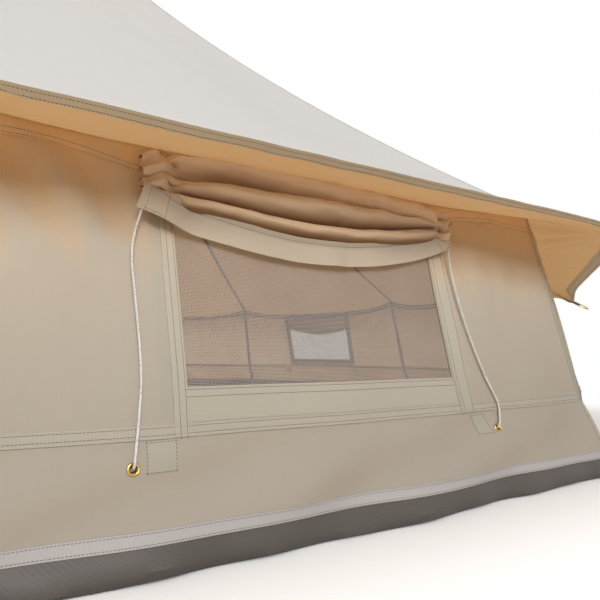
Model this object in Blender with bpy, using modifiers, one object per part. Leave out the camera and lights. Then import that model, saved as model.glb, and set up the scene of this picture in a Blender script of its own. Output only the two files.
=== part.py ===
"""Bell tent: canvas sides round a centre pole, a ridged door in front and netted windows in the wall."""

import math

import bmesh
import bpy
import numpy as np
from mathutils import Matrix, Vector

# Driving dimensions, in metres unless a name says otherwise

# Plan and profile of the tent
SIDES = 10
BASE_FLAT = 2.500  # centre to the middle of a side's chord, at the ground
WALL_LEAN_DEG = 13.25  # the wall leans in from its foot to the eave
WALL_BULGE = 0.046  # how far the middle of a side swells past its chord
WALL_FOOT = 0.045  # lower edge of the skirt above the ground
EAVE_SEAM_MID = 0.637  # height of the seam of wall and roof, mid side
EAVE_SEAM_CORNER = 0.700
PEAK_HEIGHT = 2.700
HIP_SLOPE = 0.61  # rise over run of a hip just above the eave
EAVE_REACH_MID = 0.200  # overhang past the seam, mid side
EAVE_REACH_TIP = 0.285  # overhang at a corner's pulled-out tip
EAVE_EDGE_MID = 0.605  # height of the eave's edge, mid side
EAVE_TIP_HEIGHT = 0.560

# Cloth and sewing
CANVAS = 0.0015
NETTING = 0.0010
GROUNDSHEET = 0.0012
GROUNDSHEET_RIM = 0.060
SEW_GAP = 0.0003
SEAM_GAP = 0.0006  # from a panel's edge to the corner or hip line

# Tie-out straps and rings at the eave's tips
STRAP_WIDTH = 0.024
STRAP_THICK = 0.0024
STRAP_LAP = 0.050
STRAP_REACH = 0.025  # from the tip to the ring's bar
STRAP_SLEEVE_WALL = 0.0016
RING_WIRE = 0.005
RING_LENGTH = 0.052
RING_HALF_WIDTH = 0.019
RING_BAR_HALF = 0.0135

# Peak cap and centre pole
PEAK_HOLE = 0.060  # hip radius where the roof panels end
CAP_RIM = 0.085
CAP_NECK = 0.055
CAP_LIP = 0.004
POLE_RADIUS = 0.019
POLE_WALL = 0.0015
POLE_JOINT_HEIGHT = 1.350
POLE_SPIGOT = 0.090
POLE_SOCKET = 0.030

# Door
DOOR_PEAK = 1.900
DOOR_SILL = 0.090
DOOR_TOP_DROP = 0.210  # from the door's peak down to the top of its opening
DOOR_HALF_WIDTH = 0.640
DOOR_TOP_HALF_WIDTH = 0.030
DOOR_GAP = 0.002
DOOR_HINGE_GAP = 0.0005
DOOR_RAIN_EDGE = 0.040  # the front roof runs on this far past the door
DOOR_POLE_RADIUS = 0.011
DOOR_POLE_FOOT = 0.740
DOOR_POLE_CLEARANCE = 0.006
ZIP_PULL_LENGTH = 0.044
ZIP_PULL_WIDTH = 0.012
ZIP_PULL_THICK = 0.003
ZIP_PULL_LIFT = 0.030

# Windows, each in its own side counted from the door
WINDOW_SIDES = {"right": 2, "rear": 5, "left": 8}
WINDOW_WIDTH = 0.580
WINDOW_SILL = 0.251
WINDOW_TOP = 0.590
NETTING_LAP = 0.020
HEM_HALF_WIDTH = 0.352
HEM_HEIGHT = 0.044
HEM_LOW_MID = 0.456
HEM_LOW_END = 0.518
HEM_OUT = 0.014
HEM_THICK = 0.003
FLAP_TOP = 0.628
FLAP_HALF_WIDTH = 0.346
FLAP_FOLDS = 4
FLAP_FOLD_DEPTH = 0.034
FLAP_END_DEPTH = 0.016
EYELET_HEIGHT = 0.144
EYELET_AT = {"left": -0.377, "right": 0.411}
EYELET_RADIUS = 0.0095
EYELET_BORE = 0.0054
EYELET_BARREL = 0.0066
EYELET_FLANGE = 0.0010
CORD_RADIUS = 0.0025
CORD_STEP = 0.015

# Routes of the draw cords: across the side, up from the ground, out from the wall
CORD_ROUTES = {
    "left": (
        (-0.347, 0.5155, 0.0140),
        (-0.357, 0.480, 0.0140),
        (-0.364, 0.440, 0.0130),
        (-0.362, 0.380, 0.0110),
        (-0.360, 0.320, 0.0090),
        (-0.361, 0.262, 0.0080),
        (-0.368, 0.205, 0.0075),
        (-0.3755, 0.162, 0.0078),
        (-0.377, 0.1495, 0.0062),
        (-0.377, 0.1445, 0.0010),
        (-0.377, 0.1435, -0.0060),
        (-0.377, 0.1430, -0.0160),
    ),
    "right": (
        (0.347, 0.5145, 0.0140),
        (0.344, 0.480, 0.0140),
        (0.348, 0.420, 0.0120),
        (0.357, 0.365, 0.0105),
        (0.369, 0.318, 0.0090),
        (0.395, 0.250, 0.0080),
        (0.420, 0.198, 0.0080),
        (0.4195, 0.168, 0.0080),
        (0.4125, 0.1500, 0.0064),
        (0.411, 0.1445, 0.0010),
        (0.411, 0.1435, -0.0060),
        (0.411, 0.1430, -0.0160),
    ),
}

# Counts that set how smooth the shapes are
TIP_SHARE = 0.97  # past this share of a side's half width, the eave's tip is flat
COLUMNS = (-1.0, -TIP_SHARE, -0.86, -0.6, -0.3, 0.0, 0.3, 0.6, 0.86, TIP_SHARE, 1.0)
ROOF_REACHES = (1.0, 0.76, 0.46, 0.18)
FRONT_COLUMNS = (-1.0, -0.65, -0.3, 0.0, 0.3, 0.65, 1.0)
POLE_STEPS = 16
SLEEVE_STEPS = 10
EYELET_STEPS = 12
RING_ARC_POINTS = 9
FLAP_COLUMNS = 16
FLAP_POINTS_PER_FOLD = 4

# Values worked out from the driving dimensions

HALF_ANGLE = math.pi / SIDES
SIDE_ANGLE = 2 * HALF_ANGLE
FRONT_ANGLE = -math.pi / 2
LEAN = math.radians(WALL_LEAN_DEG)


def chord(height):
    """Centre to the chord of a side at a height of the wall."""
    return BASE_FLAT - math.tan(LEAN) * height


def half_width(height):
    return chord(height) * math.tan(HALF_ANGLE)


def bulge(share):
    """Swell of a side past its chord, at a share of the way from its middle to a corner."""
    return float(np.interp(share, COLUMNS, [WALL_BULGE * (1 - c * c) for c in COLUMNS]))


def seam_height(share):
    return EAVE_SEAM_MID + (EAVE_SEAM_CORNER - EAVE_SEAM_MID) * share**4


HIP_RADIUS = chord(EAVE_SEAM_CORNER) / math.cos(HALF_ANGLE)
HIP_CURVE = (PEAK_HEIGHT - EAVE_SEAM_CORNER - HIP_SLOPE * HIP_RADIUS) / HIP_RADIUS**2
TIP_RADIUS = HIP_RADIUS + EAVE_REACH_TIP
EAVE_FLAT = chord(EAVE_SEAM_MID) + WALL_BULGE + EAVE_REACH_MID
TIP_FLAT = TIP_RADIUS * math.cos(HALF_ANGLE)
TIP_DIP = math.atan2(EAVE_SEAM_CORNER - EAVE_TIP_HEIGHT, EAVE_REACH_TIP)


def hip_height(radius):
    run = HIP_RADIUS - radius
    return EAVE_SEAM_CORNER + HIP_SLOPE * run + HIP_CURVE * run * run


def side_angle(side):
    """Direction that a side faces, counted from the door."""
    return FRONT_ANGLE + SIDE_ANGLE * side


def turned(angle):
    return Matrix.Rotation(angle, 4, "Z")


def on_wall(across, height, out=0.0, swell=1.0):
    """A point of a side's wall, in the frame of a side that faces +X."""
    flat = chord(height) + swell * bulge(across / half_width(height))
    return Vector((flat + out * math.cos(LEAN), across, height + out * math.sin(LEAN)))


def wall_frame(across, height):
    """Frame on the wall with X to the right, Y up the wall and Z outwards."""
    step = 0.005
    right = (on_wall(across + step, height) - on_wall(across - step, height)).normalized()
    up = (on_wall(across, height + step) - on_wall(across, height - step)).normalized()
    out = right.cross(up).normalized()
    frame = Matrix((right, out.cross(right), out)).transposed().to_4x4()
    return Matrix.Translation(on_wall(across, height)) @ frame


# Scene, collections and materials

for old in list(bpy.data.objects):
    bpy.data.objects.remove(old)
TENT = bpy.data.collections.new("bell_tent")
CUTTERS = bpy.data.collections.new("cutters")
bpy.context.scene.collection.children.link(TENT)
bpy.context.scene.collection.children.link(CUTTERS)


def material(name, colour, roughness, metallic=0.0):
    made = bpy.data.materials.new(name)
    made.use_nodes = True
    shader = made.node_tree.nodes["Principled BSDF"]
    shader.inputs["Base Color"].default_value = (*colour, 1.0)
    shader.inputs["Roughness"].default_value = roughness
    shader.inputs["Metallic"].default_value = metallic
    return made


WALL_CANVAS = material("wall_canvas", (0.50, 0.41, 0.32), 0.85)
ROOF_CANVAS = material("roof_canvas", (0.66, 0.65, 0.62), 0.80)
FLAP_CANVAS = material("flap_canvas", (0.48, 0.36, 0.24), 0.85)
NET = material("window_netting", (0.30, 0.26, 0.22), 0.70)
CORD = material("white_cord", (0.80, 0.79, 0.77), 0.75)
BRASS = material("brass", (0.62, 0.43, 0.14), 0.35, 1.0)
STEEL = material("galvanised_steel", (0.55, 0.56, 0.57), 0.40, 1.0)
GREY_SHEET = material("groundsheet_grey", (0.10, 0.09, 0.08), 0.60)


def add(name, data, look, matrix=None, collection=TENT):
    """A named object in the tent, or in another collection."""
    made = bpy.data.objects.new(name, data)
    collection.objects.link(made)
    if look is not None and not data.materials:
        data.materials.append(look)
    made.matrix_world = matrix if matrix is not None else Matrix()
    return made


def mesh_from(name, work):
    mesh = bpy.data.meshes.new(name)
    work.to_mesh(mesh)
    work.free()
    return mesh


def grid(name, columns, rows, place):
    """A grid mesh whose point at a column and a row goes where place puts it."""
    work = bmesh.new()
    across, up = len(columns) - 1, len(rows) - 1
    bmesh.ops.create_grid(work, x_segments=across, y_segments=up, size=1)
    for vert in work.verts:
        column = columns[round((vert.co.x + 1) / 2 * across)]
        row = rows[round((vert.co.y + 1) / 2 * up)]
        vert.co = place(column, row)
    return mesh_from(name, work)


def thicken(thing, thickness):
    shell = thing.modifiers.new("thickness", "SOLIDIFY")
    shell.thickness = thickness
    shell.offset = 0.0
    shell.use_even_offset = True
    thing.modifiers.new("flat faces", "TRIANGULATE")


def boolean(thing, operation, other):
    cut = thing.modifiers.new(f"{operation.lower()} {other.name}", "BOOLEAN")
    cut.operation = operation
    cut.object = other
    cut.solver = "EXACT"


def cutter(name, work):
    """A hidden object that joins or cuts another one."""
    made = add(name, mesh_from(name, work), None, collection=CUTTERS)
    made.hide_render = True
    made.display_type = "WIRE"
    return made


def box_cutter(name, frame, low, high):
    low, high = Vector(low), Vector(high)
    work = bmesh.new()
    size = Matrix.Diagonal((*(high - low), 1.0))
    bmesh.ops.create_cube(work, size=1.0, matrix=frame @ Matrix.Translation((low + high) / 2) @ size)
    return cutter(name, work)


def rod_cutter(name, frame, radius, low, high, steps):
    """A rod along the frame's Z axis."""
    work = bmesh.new()
    bmesh.ops.create_cone(
        work,
        cap_ends=True,
        segments=steps,
        radius1=radius,
        radius2=radius,
        depth=high - low,
        matrix=frame @ Matrix.Translation((0, 0, (low + high) / 2)),
    )
    return cutter(name, work)


def baked(thing):
    """The object's mesh with its modifiers applied. The object goes."""
    bpy.context.view_layer.update()
    graph = bpy.context.evaluated_depsgraph_get()
    mesh = bpy.data.meshes.new_from_object(thing.evaluated_get(graph))
    bpy.data.objects.remove(thing)
    return mesh


def turned_profile(name, points, steps, look, matrix, closed=False):
    """A profile of radius and height, run down its outer side, turned about Z."""
    work = bmesh.new()
    verts = [work.verts.new((radius, 0.0, height)) for radius, height in points]
    ends = verts[1:] + verts[:1] if closed else verts[1:]
    for first, second in zip(verts, ends):
        work.edges.new((first, second))
    made = add(name, mesh_from(name, work), look, matrix)
    screw = made.modifiers.new("turn", "SCREW")
    screw.steps = steps
    screw.render_steps = steps
    screw.use_merge_vertices = True
    screw.merge_threshold = 0.00001
    return made


def outline(name, loops, thickness, look, matrix):
    """A flat piece in its frame's XY plane: an outer loop and any holes."""
    curve = bpy.data.curves.new(name, "CURVE")
    curve.dimensions = "2D"
    curve.fill_mode = "BOTH"
    curve.extrude = thickness / 2
    for loop in loops:
        spline = curve.splines.new("POLY")
        spline.points.add(len(loop) - 1)
        for point, (x, y) in zip(spline.points, loop):
            point.co = (x, y, 0.0, 1.0)
        spline.use_cyclic_u = True
    return add(name, curve, look, matrix)


def wire(name, points, radius, look, matrix, cyclic=False, sides=2):
    curve = bpy.data.curves.new(name, "CURVE")
    curve.dimensions = "3D"
    curve.bevel_depth = radius
    curve.bevel_resolution = sides
    curve.use_fill_caps = not cyclic
    spline = curve.splines.new("POLY")
    spline.points.add(len(points) - 1)
    for point, place in zip(spline.points, points):
        point.co = (*place, 1.0)
    spline.use_cyclic_u = cyclic
    return add(name, curve, look, matrix)


# Roof panels with the flared eave and half of a tie-out strap at each tip


def roof_point(share, reach):
    """Point of a roof panel. A reach of 1 is the eave seam, less is up the roof, more is the eave's edge."""
    if reach > 1:
        across = share * (TIP_FLAT * math.tan(HALF_ANGLE) - SEAM_GAP)
        flat = EAVE_FLAT + (TIP_FLAT - EAVE_FLAT) * share**4
        near_tip = min(abs(share) / TIP_SHARE, 1.0)
        height = EAVE_EDGE_MID - (EAVE_EDGE_MID - EAVE_TIP_HEIGHT) * near_tip**12
        return Vector((flat, across, height))
    radius = HIP_RADIUS * reach
    seam = seam_height(share)
    swell = chord(seam) + bulge(share) - chord(EAVE_SEAM_CORNER)
    sag = EAVE_SEAM_CORNER - seam
    flat = radius * math.cos(HALF_ANGLE) + swell * reach**3
    across = share * (radius * math.sin(HALF_ANGLE) - SEAM_GAP)
    return Vector((flat, across, hip_height(radius) - sag * reach**2))


def tip_frame(angle):
    """Frame at an eave tip with X outwards and down, Y along the eave and Z up."""
    place = Matrix.Translation((TIP_RADIUS, 0, EAVE_TIP_HEIGHT))
    return turned(angle) @ place @ Matrix.Rotation(TIP_DIP, 4, "Y")


def add_strap(panel, hand):
    """Joins half a strap and its sleeve to the panel's tip on one hand."""
    frame = tip_frame(hand * HALF_ANGLE)
    inner, outer = sorted((-hand * SEAM_GAP, -hand * STRAP_WIDTH / 2))
    strap = box_cutter(
        f"strap_{hand}",
        frame,
        (-STRAP_LAP, inner, -STRAP_THICK / 2),
        (STRAP_REACH, outer, STRAP_THICK / 2),
    )
    bar = frame @ Matrix.Translation((STRAP_REACH, 0, 0)) @ Matrix.Rotation(-math.pi / 2, 4, "X")
    bore = (RING_WIRE / 2 + SEW_GAP) / math.cos(math.pi / SLEEVE_STEPS)
    tuck = SEW_GAP / 2
    sleeve = rod_cutter(f"sleeve_{hand}", bar, bore + STRAP_SLEEVE_WALL, inner + tuck, outer - tuck, SLEEVE_STEPS)
    hole = rod_cutter(f"bore_{hand}", bar, bore, -STRAP_WIDTH, STRAP_WIDTH, SLEEVE_STEPS)
    boolean(strap, "UNION", sleeve)
    boolean(strap, "DIFFERENCE", hole)
    boolean(panel, "UNION", strap)


def make_roof():
    top = PEAK_HOLE / HIP_RADIUS
    rows = (2.0,) + ROOF_REACHES + (top,)
    panel = add("roof_pattern", grid("roof_pattern", COLUMNS, rows, roof_point), ROOF_CANVAS)
    thicken(panel, CANVAS)
    for hand in (1, -1):
        add_strap(panel, hand)
    mesh = baked(panel)
    for side in range(1, SIDES):
        add(f"roof_panel_{side}", mesh, ROOF_CANVAS, turned(side_angle(side)))


# Front roof: two slopes from the hips beside the door up to the ridge

DOOR_PEAK_FLAT = chord(DOOR_PEAK)


def front_roof_point(share, reach):
    top = PEAK_HOLE / HIP_RADIUS
    past = reach > 1
    radius = HIP_RADIUS * min(reach, 1.0)
    hand = math.copysign(1.0, share)
    hip_across = hand * (radius * math.sin(HALF_ANGLE) - SEAM_GAP)
    hip = Vector((radius * math.cos(HALF_ANGLE), hip_across, hip_height(radius)))
    door_end = Vector((DOOR_PEAK_FLAT, 0, DOOR_PEAK))
    peak_end = Vector((PEAK_HOLE * math.cos(HALF_ANGLE), 0, hip_height(PEAK_HOLE)))
    ridge = peak_end.lerp(door_end, (min(reach, 1.0) - top) / (1 - top))
    point = ridge.lerp(hip, abs(share))
    if past:
        point += (door_end - peak_end).normalized() * DOOR_RAIN_EDGE
    return point


def make_front_roof():
    rows = (2.0,) + ROOF_REACHES + (PEAK_HOLE / HIP_RADIUS,)
    mesh = grid("roof_front", FRONT_COLUMNS, rows, front_roof_point)
    thicken(add("roof_front", mesh, ROOF_CANVAS, turned(side_angle(0))), CANVAS)


# Tie-out rings: a straight bar in the strap's sleeve and a round bow


def make_rings():
    corner = RING_WIRE + SEW_GAP
    path = [(0.0, -RING_BAR_HALF, 0.0), (0.0, RING_BAR_HALF, 0.0)]
    for i in range(RING_ARC_POINTS):
        turn = math.pi / 2 - math.pi * i / (RING_ARC_POINTS - 1)
        along = corner + (RING_LENGTH - corner) * math.cos(turn)
        path.append((along, RING_HALF_WIDTH * math.sin(turn), 0.0))
    for number in range(SIDES):
        frame = tip_frame(side_angle(number) + HALF_ANGLE)
        bar = frame @ Matrix.Translation((STRAP_REACH, 0, 0))
        wire(f"tie_out_ring_{number + 1}", path, RING_WIRE / 2, BRASS, bar, cyclic=True, sides=1)


# Walls: one panel a side, with a window and two eyelet holes on three of them


def wall_point(share, row):
    """Point of a wall panel: row 0 is the skirt's edge and row 1 the eave seam."""
    top = seam_height(share) - CANVAS - SEW_GAP
    height = WALL_FOOT + (top - WALL_FOOT) * row
    across = share * (half_width(height) - SEAM_GAP)
    return Vector((chord(height) + bulge(share), across, height))


def make_walls():
    plain = add("wall_pattern", grid("wall_pattern", COLUMNS, (0.0, 1.0), wall_point), WALL_CANVAS)
    thicken(plain, CANVAS)
    opened = plain.copy()
    TENT.objects.link(opened)
    middle = (WINDOW_SILL + WINDOW_TOP) / 2
    rise = (WINDOW_TOP - WINDOW_SILL) / 2 / math.cos(LEAN)
    depth = WALL_BULGE + CANVAS
    window = box_cutter(
        "window_hole",
        wall_frame(0.0, middle),
        (-WINDOW_WIDTH / 2, -rise, -depth),
        (WINDOW_WIDTH / 2, rise, depth),
    )
    boolean(opened, "DIFFERENCE", window)
    for hand, across in EYELET_AT.items():
        frame = wall_frame(across, EYELET_HEIGHT)
        radius = (EYELET_BARREL + SEW_GAP) / math.cos(math.pi / EYELET_STEPS)
        hole = rod_cutter(f"eyelet_hole_{hand}", frame, radius, -CANVAS * 4, CANVAS * 4, EYELET_STEPS)
        boolean(opened, "DIFFERENCE", hole)
    plain_mesh = baked(plain)
    window_mesh = baked(opened)
    for side in range(1, SIDES):
        mesh = window_mesh if side in WINDOW_SIDES.values() else plain_mesh
        add(f"wall_panel_{side}", mesh, WALL_CANVAS, turned(side_angle(side)))


# Windows: netting, drawn-up flap, flap hem, eyelets and draw cords


def hem_low(across):
    """Height of the hem's sagging lower edge."""
    return HEM_LOW_MID + (HEM_LOW_END - HEM_LOW_MID) * (across / HEM_HALF_WIDTH) ** 2


def netting_mesh():
    inside = -(CANVAS / 2 + SEW_GAP * 2 + NETTING / 2)
    half = WINDOW_WIDTH / 2 + NETTING_LAP
    joints = [c * half_width(WINDOW_SILL) for c in COLUMNS]
    columns = [-half] + [x for x in joints if abs(x) < half] + [half]
    rows = (WINDOW_SILL - NETTING_LAP, WINDOW_TOP + NETTING_LAP)
    return grid("window_netting", columns, rows, lambda across, height: on_wall(across, height, inside))


def hem_mesh():
    columns = np.linspace(-HEM_HALF_WIDTH, HEM_HALF_WIDTH, FLAP_COLUMNS + 1)
    rows = (0.0, HEM_HEIGHT)
    return grid("flap_hem", columns, rows, lambda across, up: on_wall(across, hem_low(across) + up, HEM_OUT))


def flap_section(across):
    """Closed section of the drawn-up flap: folds down the front, a flat back."""
    bottom = hem_low(across) + HEM_HEIGHT + SEW_GAP * 2
    near = abs(across / FLAP_HALF_WIDTH) ** 4
    depth = FLAP_FOLD_DEPTH + (FLAP_END_DEPTH - FLAP_FOLD_DEPTH) * near
    back = CANVAS / 2 + SEW_GAP * 2
    steps = FLAP_FOLDS * FLAP_POINTS_PER_FOLD
    points = []
    for i in range(steps + 1):
        down = i / steps
        fold = down * FLAP_FOLDS % 1.0
        out = back + HEM_THICK + HEM_OUT * down + depth * math.sin(math.pi * fold**1.5)
        points.append(on_wall(across, FLAP_TOP + (bottom - FLAP_TOP) * down, out))
    points.append(on_wall(across, bottom, back))
    points.append(on_wall(across, FLAP_TOP, back))
    return points


def flap_mesh():
    columns = np.linspace(-FLAP_HALF_WIDTH, FLAP_HALF_WIDTH, FLAP_COLUMNS + 1)
    sections = [flap_section(across) for across in columns]
    around = len(sections[0])
    work = bmesh.new()
    rings = [[work.verts.new(point) for point in section] for section in sections]
    for first, second in zip(rings, rings[1:]):
        for i in range(around):
            j = (i + 1) % around
            work.faces.new((first[i], first[j], second[j], second[i]))
    work.faces.new(rings[0][::-1])
    work.faces.new(rings[-1])
    bmesh.ops.recalc_face_normals(work, faces=work.faces)
    return mesh_from("window_flap", work)


def eyelet_profile():
    face = CANVAS / 2 + SEW_GAP
    rim = face + EYELET_FLANGE
    return (
        (EYELET_BORE, rim - EYELET_FLANGE / 3),
        ((EYELET_BORE + EYELET_RADIUS) / 2, rim),
        (EYELET_RADIUS, rim - EYELET_FLANGE / 2),
        (EYELET_RADIUS, face),
        (EYELET_BARREL, face),
        (EYELET_BARREL, -face),
        (EYELET_RADIUS, -face),
        (EYELET_RADIUS, -rim),
        (EYELET_BORE, -rim),
    )


def smooth_route(route):
    """Points along a smooth curve through a route's own points."""
    knots = np.array([on_wall(*point) for point in route])
    ends = np.vstack([2 * knots[0] - knots[1], knots, 2 * knots[-1] - knots[-2]])
    points = []
    for a, b, c, d in zip(ends, ends[1:], ends[2:], ends[3:]):
        steps = max(2, round(np.linalg.norm(c - b) / CORD_STEP))
        for t in np.arange(steps) / steps:
            bend = (2 * a - 5 * b + 4 * c - d) * t**2 + (3 * b - a - 3 * c + d) * t**3
            points.append(tuple(b + 0.5 * ((c - a) * t + bend)))
    return points + [tuple(knots[-1])]


def make_windows():
    net, hem, flap = netting_mesh(), hem_mesh(), flap_mesh()
    slope = Matrix.Translation(on_wall(0.0, HEM_LOW_MID, HEM_OUT))
    hem.transform(slope.inverted())
    for window, side in WINDOW_SIDES.items():
        turn = turned(side_angle(side))
        thicken(add(f"window_{window}_netting", net, NET, turn), NETTING)
        add(f"window_{window}_flap", flap, FLAP_CANVAS, turn)
        thicken(add(f"window_{window}_flap_hem", hem, FLAP_CANVAS, turn @ slope), HEM_THICK)
        for hand, route in CORD_ROUTES.items():
            place = turn @ wall_frame(EYELET_AT[hand], EYELET_HEIGHT)
            name = f"window_{window}_eyelet_{hand}"
            turned_profile(name, eyelet_profile(), EYELET_STEPS, BRASS, place, closed=True)
            name = f"window_{window}_cord_{hand}"
            wire(name, smooth_route(route), CORD_RADIUS, CORD, turn)


# Groundsheet: a flat floor with a low rim inside the wall's foot


def make_groundsheet():
    inside = -(CANVAS / 2 + SEW_GAP + GROUNDSHEET / 2)
    stops = [(side, share) for side in range(SIDES) for share in COLUMNS[:-1:2]]
    work = bmesh.new()
    loops = []
    for height in (GROUNDSHEET / 2, GROUNDSHEET_RIM):
        loop = []
        for side, share in stops:
            wide = half_width(height) + inside * math.tan(HALF_ANGLE)
            point = on_wall(share * wide, height, inside, swell=0.0 if side == 0 else 1.0)
            point.z = height
            loop.append(work.verts.new(turned(side_angle(side)) @ point))
        loops.append(loop)
    floor, rim = loops
    work.faces.new(floor)
    for i in range(len(floor)):
        j = (i + 1) % len(floor)
        work.faces.new((floor[i], floor[j], rim[j], rim[i]))
    bmesh.ops.recalc_face_normals(work, faces=work.faces)
    thicken(add("groundsheet", mesh_from("groundsheet", work), GREY_SHEET), GROUNDSHEET)


# Peak cap and the two sections of the centre pole

CAP_NECK_TOP = hip_height(PEAK_HOLE) + CAP_LIP * 2
CAP_NECK_LOW = hip_height(PEAK_HOLE) - CAP_NECK
POLE_TOP = CAP_NECK_LOW + POLE_SOCKET


def make_peak_cap():
    neck = PEAK_HOLE - SEAM_GAP - CANVAS
    socket = (POLE_RADIUS + SEW_GAP) / math.cos(HALF_ANGLE)
    profile = (
        (0.0, PEAK_HEIGHT),
        (neck, CAP_NECK_TOP + CAP_LIP * 3),
        (CAP_RIM, CAP_NECK_TOP + CAP_LIP),
        (CAP_RIM, CAP_NECK_TOP),
        (neck, CAP_NECK_TOP),
        (neck, CAP_NECK_LOW),
        (socket, CAP_NECK_LOW),
        (socket, POLE_TOP + SEW_GAP),
        (0.0, POLE_TOP + SEW_GAP),
    )
    turned_profile("peak_cap", profile, SIDES, STEEL, turned(FRONT_ANGLE + HALF_ANGLE))


def make_centre_pole():
    foot = GROUNDSHEET + SEW_GAP
    bore = POLE_RADIUS - POLE_WALL
    spigot = bore - SEW_GAP
    lower = (
        (0.0, foot + POLE_WALL),
        (bore, foot + POLE_WALL),
        (bore, POLE_JOINT_HEIGHT),
        (POLE_RADIUS, POLE_JOINT_HEIGHT),
        (POLE_RADIUS, foot),
        (0.0, foot),
    )
    shoulder = POLE_JOINT_HEIGHT + SEW_GAP
    upper = (
        (0.0, POLE_TOP),
        (POLE_RADIUS, POLE_TOP),
        (POLE_RADIUS, shoulder),
        (spigot, shoulder),
        (spigot, shoulder - POLE_SPIGOT),
        (spigot - POLE_WALL, shoulder - POLE_SPIGOT),
        (spigot - POLE_WALL, POLE_TOP - POLE_WALL),
        (0.0, POLE_TOP - POLE_WALL),
    )
    turned_profile("centre_pole_lower", lower, POLE_STEPS, STEEL, Matrix())
    turned_profile("centre_pole_upper", upper, POLE_STEPS, STEEL, Matrix())


# Door: surround, two hinged leaves, a zip pull and the two frame poles


def door_plane():
    """Frame of the door's leaning plane: X to the right, Y up the slope, Z outwards."""
    tilt = Matrix(((0, -math.sin(LEAN), math.cos(LEAN)), (1, 0, 0), (0, math.cos(LEAN), math.sin(LEAN))))
    return turned(side_angle(0)) @ Matrix.Translation((BASE_FLAT, 0, 0)) @ tilt.to_4x4()


def up_slope(height):
    return height / math.cos(LEAN)


GABLE_RUN = half_width(EAVE_SEAM_CORNER)
GABLE_RISE = up_slope(DOOR_PEAK) - up_slope(EAVE_SEAM_CORNER)
GABLE_INSET = CANVAS * 1.5 + SEW_GAP
HINGE_LOW = Vector((DOOR_HALF_WIDTH, up_slope(DOOR_SILL)))
HINGE_HIGH = Vector((DOOR_TOP_HALF_WIDTH, up_slope(DOOR_PEAK - DOOR_TOP_DROP)))


def make_door_surround():
    foot_half = half_width(WALL_FOOT) - SEAM_GAP
    corner_half = half_width(EAVE_SEAM_CORNER) - SEAM_GAP
    slant = math.hypot(GABLE_RUN, GABLE_RISE)
    drop = GABLE_INSET * slant / GABLE_RUN
    corner_up = up_slope(EAVE_SEAM_CORNER) - drop
    peak_up = up_slope(DOOR_PEAK) - drop
    outer = (
        (-foot_half, up_slope(WALL_FOOT)),
        (foot_half, up_slope(WALL_FOOT)),
        (corner_half, corner_up),
        (0.0, peak_up),
        (-corner_half, corner_up),
    )
    hole = (
        (-HINGE_LOW.x, HINGE_LOW.y),
        (HINGE_LOW.x, HINGE_LOW.y),
        (HINGE_HIGH.x, HINGE_HIGH.y),
        (-HINGE_HIGH.x, HINGE_HIGH.y),
    )
    outline("door_surround", (outer, hole), CANVAS, WALL_CANVAS, door_plane())


def make_door_leaves():
    slant = HINGE_HIGH - HINGE_LOW
    inset = DOOR_HINGE_GAP * slant.length / slant.y
    low, high = HINGE_LOW.y + DOOR_GAP, HINGE_HIGH.y - DOOR_GAP
    for hand, name in ((-1, "left"), (1, "right")):
        hinge = Vector((hand * HINGE_LOW.x, HINGE_LOW.y))
        corners = (
            (HINGE_LOW.x + slant.x * (low - HINGE_LOW.y) / slant.y - inset, low),
            (HINGE_LOW.x + slant.x * (high - HINGE_LOW.y) / slant.y - inset, high),
            (DOOR_GAP / 2, high),
            (DOOR_GAP / 2, low),
        )
        loop = [(hand * x - hinge.x, y - hinge.y) for x, y in corners]
        place = door_plane() @ Matrix.Translation((hinge.x, hinge.y, 0))
        outline(f"door_leaf_{name}", (loop,), CANVAS, WALL_CANVAS, place)


def make_zip_pull():
    half = ZIP_PULL_WIDTH / 2
    straight = ZIP_PULL_LENGTH - half
    arc = [math.pi * i / 8 for i in range(9)]
    outer = [(-half * 0.7, 0.0), (half * 0.7, 0.0)]
    outer += [(half * math.cos(a), straight + half * math.sin(a)) for a in arc]
    hole = [(half / 2 * math.cos(2 * a), straight + half / 2 * math.sin(2 * a)) for a in arc[:-1]]
    across = -(DOOR_GAP + half)
    out = CANVAS / 2 + SEW_GAP + ZIP_PULL_THICK / 2
    place = door_plane() @ Matrix.Translation((across, HINGE_LOW.y + ZIP_PULL_LIFT, out))
    outline("door_zip_pull", (outer, hole), ZIP_PULL_THICK, BRASS, place)


def door_pole_ends(inside):
    """Foot and top of the right pole's axis, in the door's plane: across and up the slope."""
    aim = Vector((-DOOR_POLE_FOOT, up_slope(DOOR_PEAK))).normalized()
    side = Vector((aim.y, -aim.x))
    fall = GABLE_RISE / GABLE_RUN
    top_across = DOOR_POLE_RADIUS * aim.y + SEW_GAP
    ridge = Vector((DOOR_PEAK_FLAT, hip_height(PEAK_HOLE) - DOOR_PEAK)).normalized()
    inward = ridge.x * math.cos(LEAN) - ridge.y * math.sin(LEAN)
    climb = (ridge.x * math.sin(LEAN) + ridge.y * math.cos(LEAN)) / inward
    room = []
    for i in range(POLE_STEPS):
        turn = 2 * math.pi * i / POLE_STEPS
        across = top_across + DOOR_POLE_RADIUS * math.cos(turn) * side.x
        up = DOOR_POLE_RADIUS * math.cos(turn) * side.y
        deep = inside + DOOR_POLE_RADIUS * math.sin(turn)
        room.append(up_slope(DOOR_PEAK) - fall * across + climb * deep - up)
    top = Vector((top_across, min(room) - GABLE_INSET))
    tilt = math.acos(aim.y * math.cos(LEAN))
    foot_height = GROUNDSHEET + SEW_GAP + DOOR_POLE_RADIUS * math.sin(tilt)
    floor = up_slope(foot_height) + inside * math.tan(LEAN)
    foot = top - aim * ((top.y - floor) / aim.y)
    return foot, top


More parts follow.
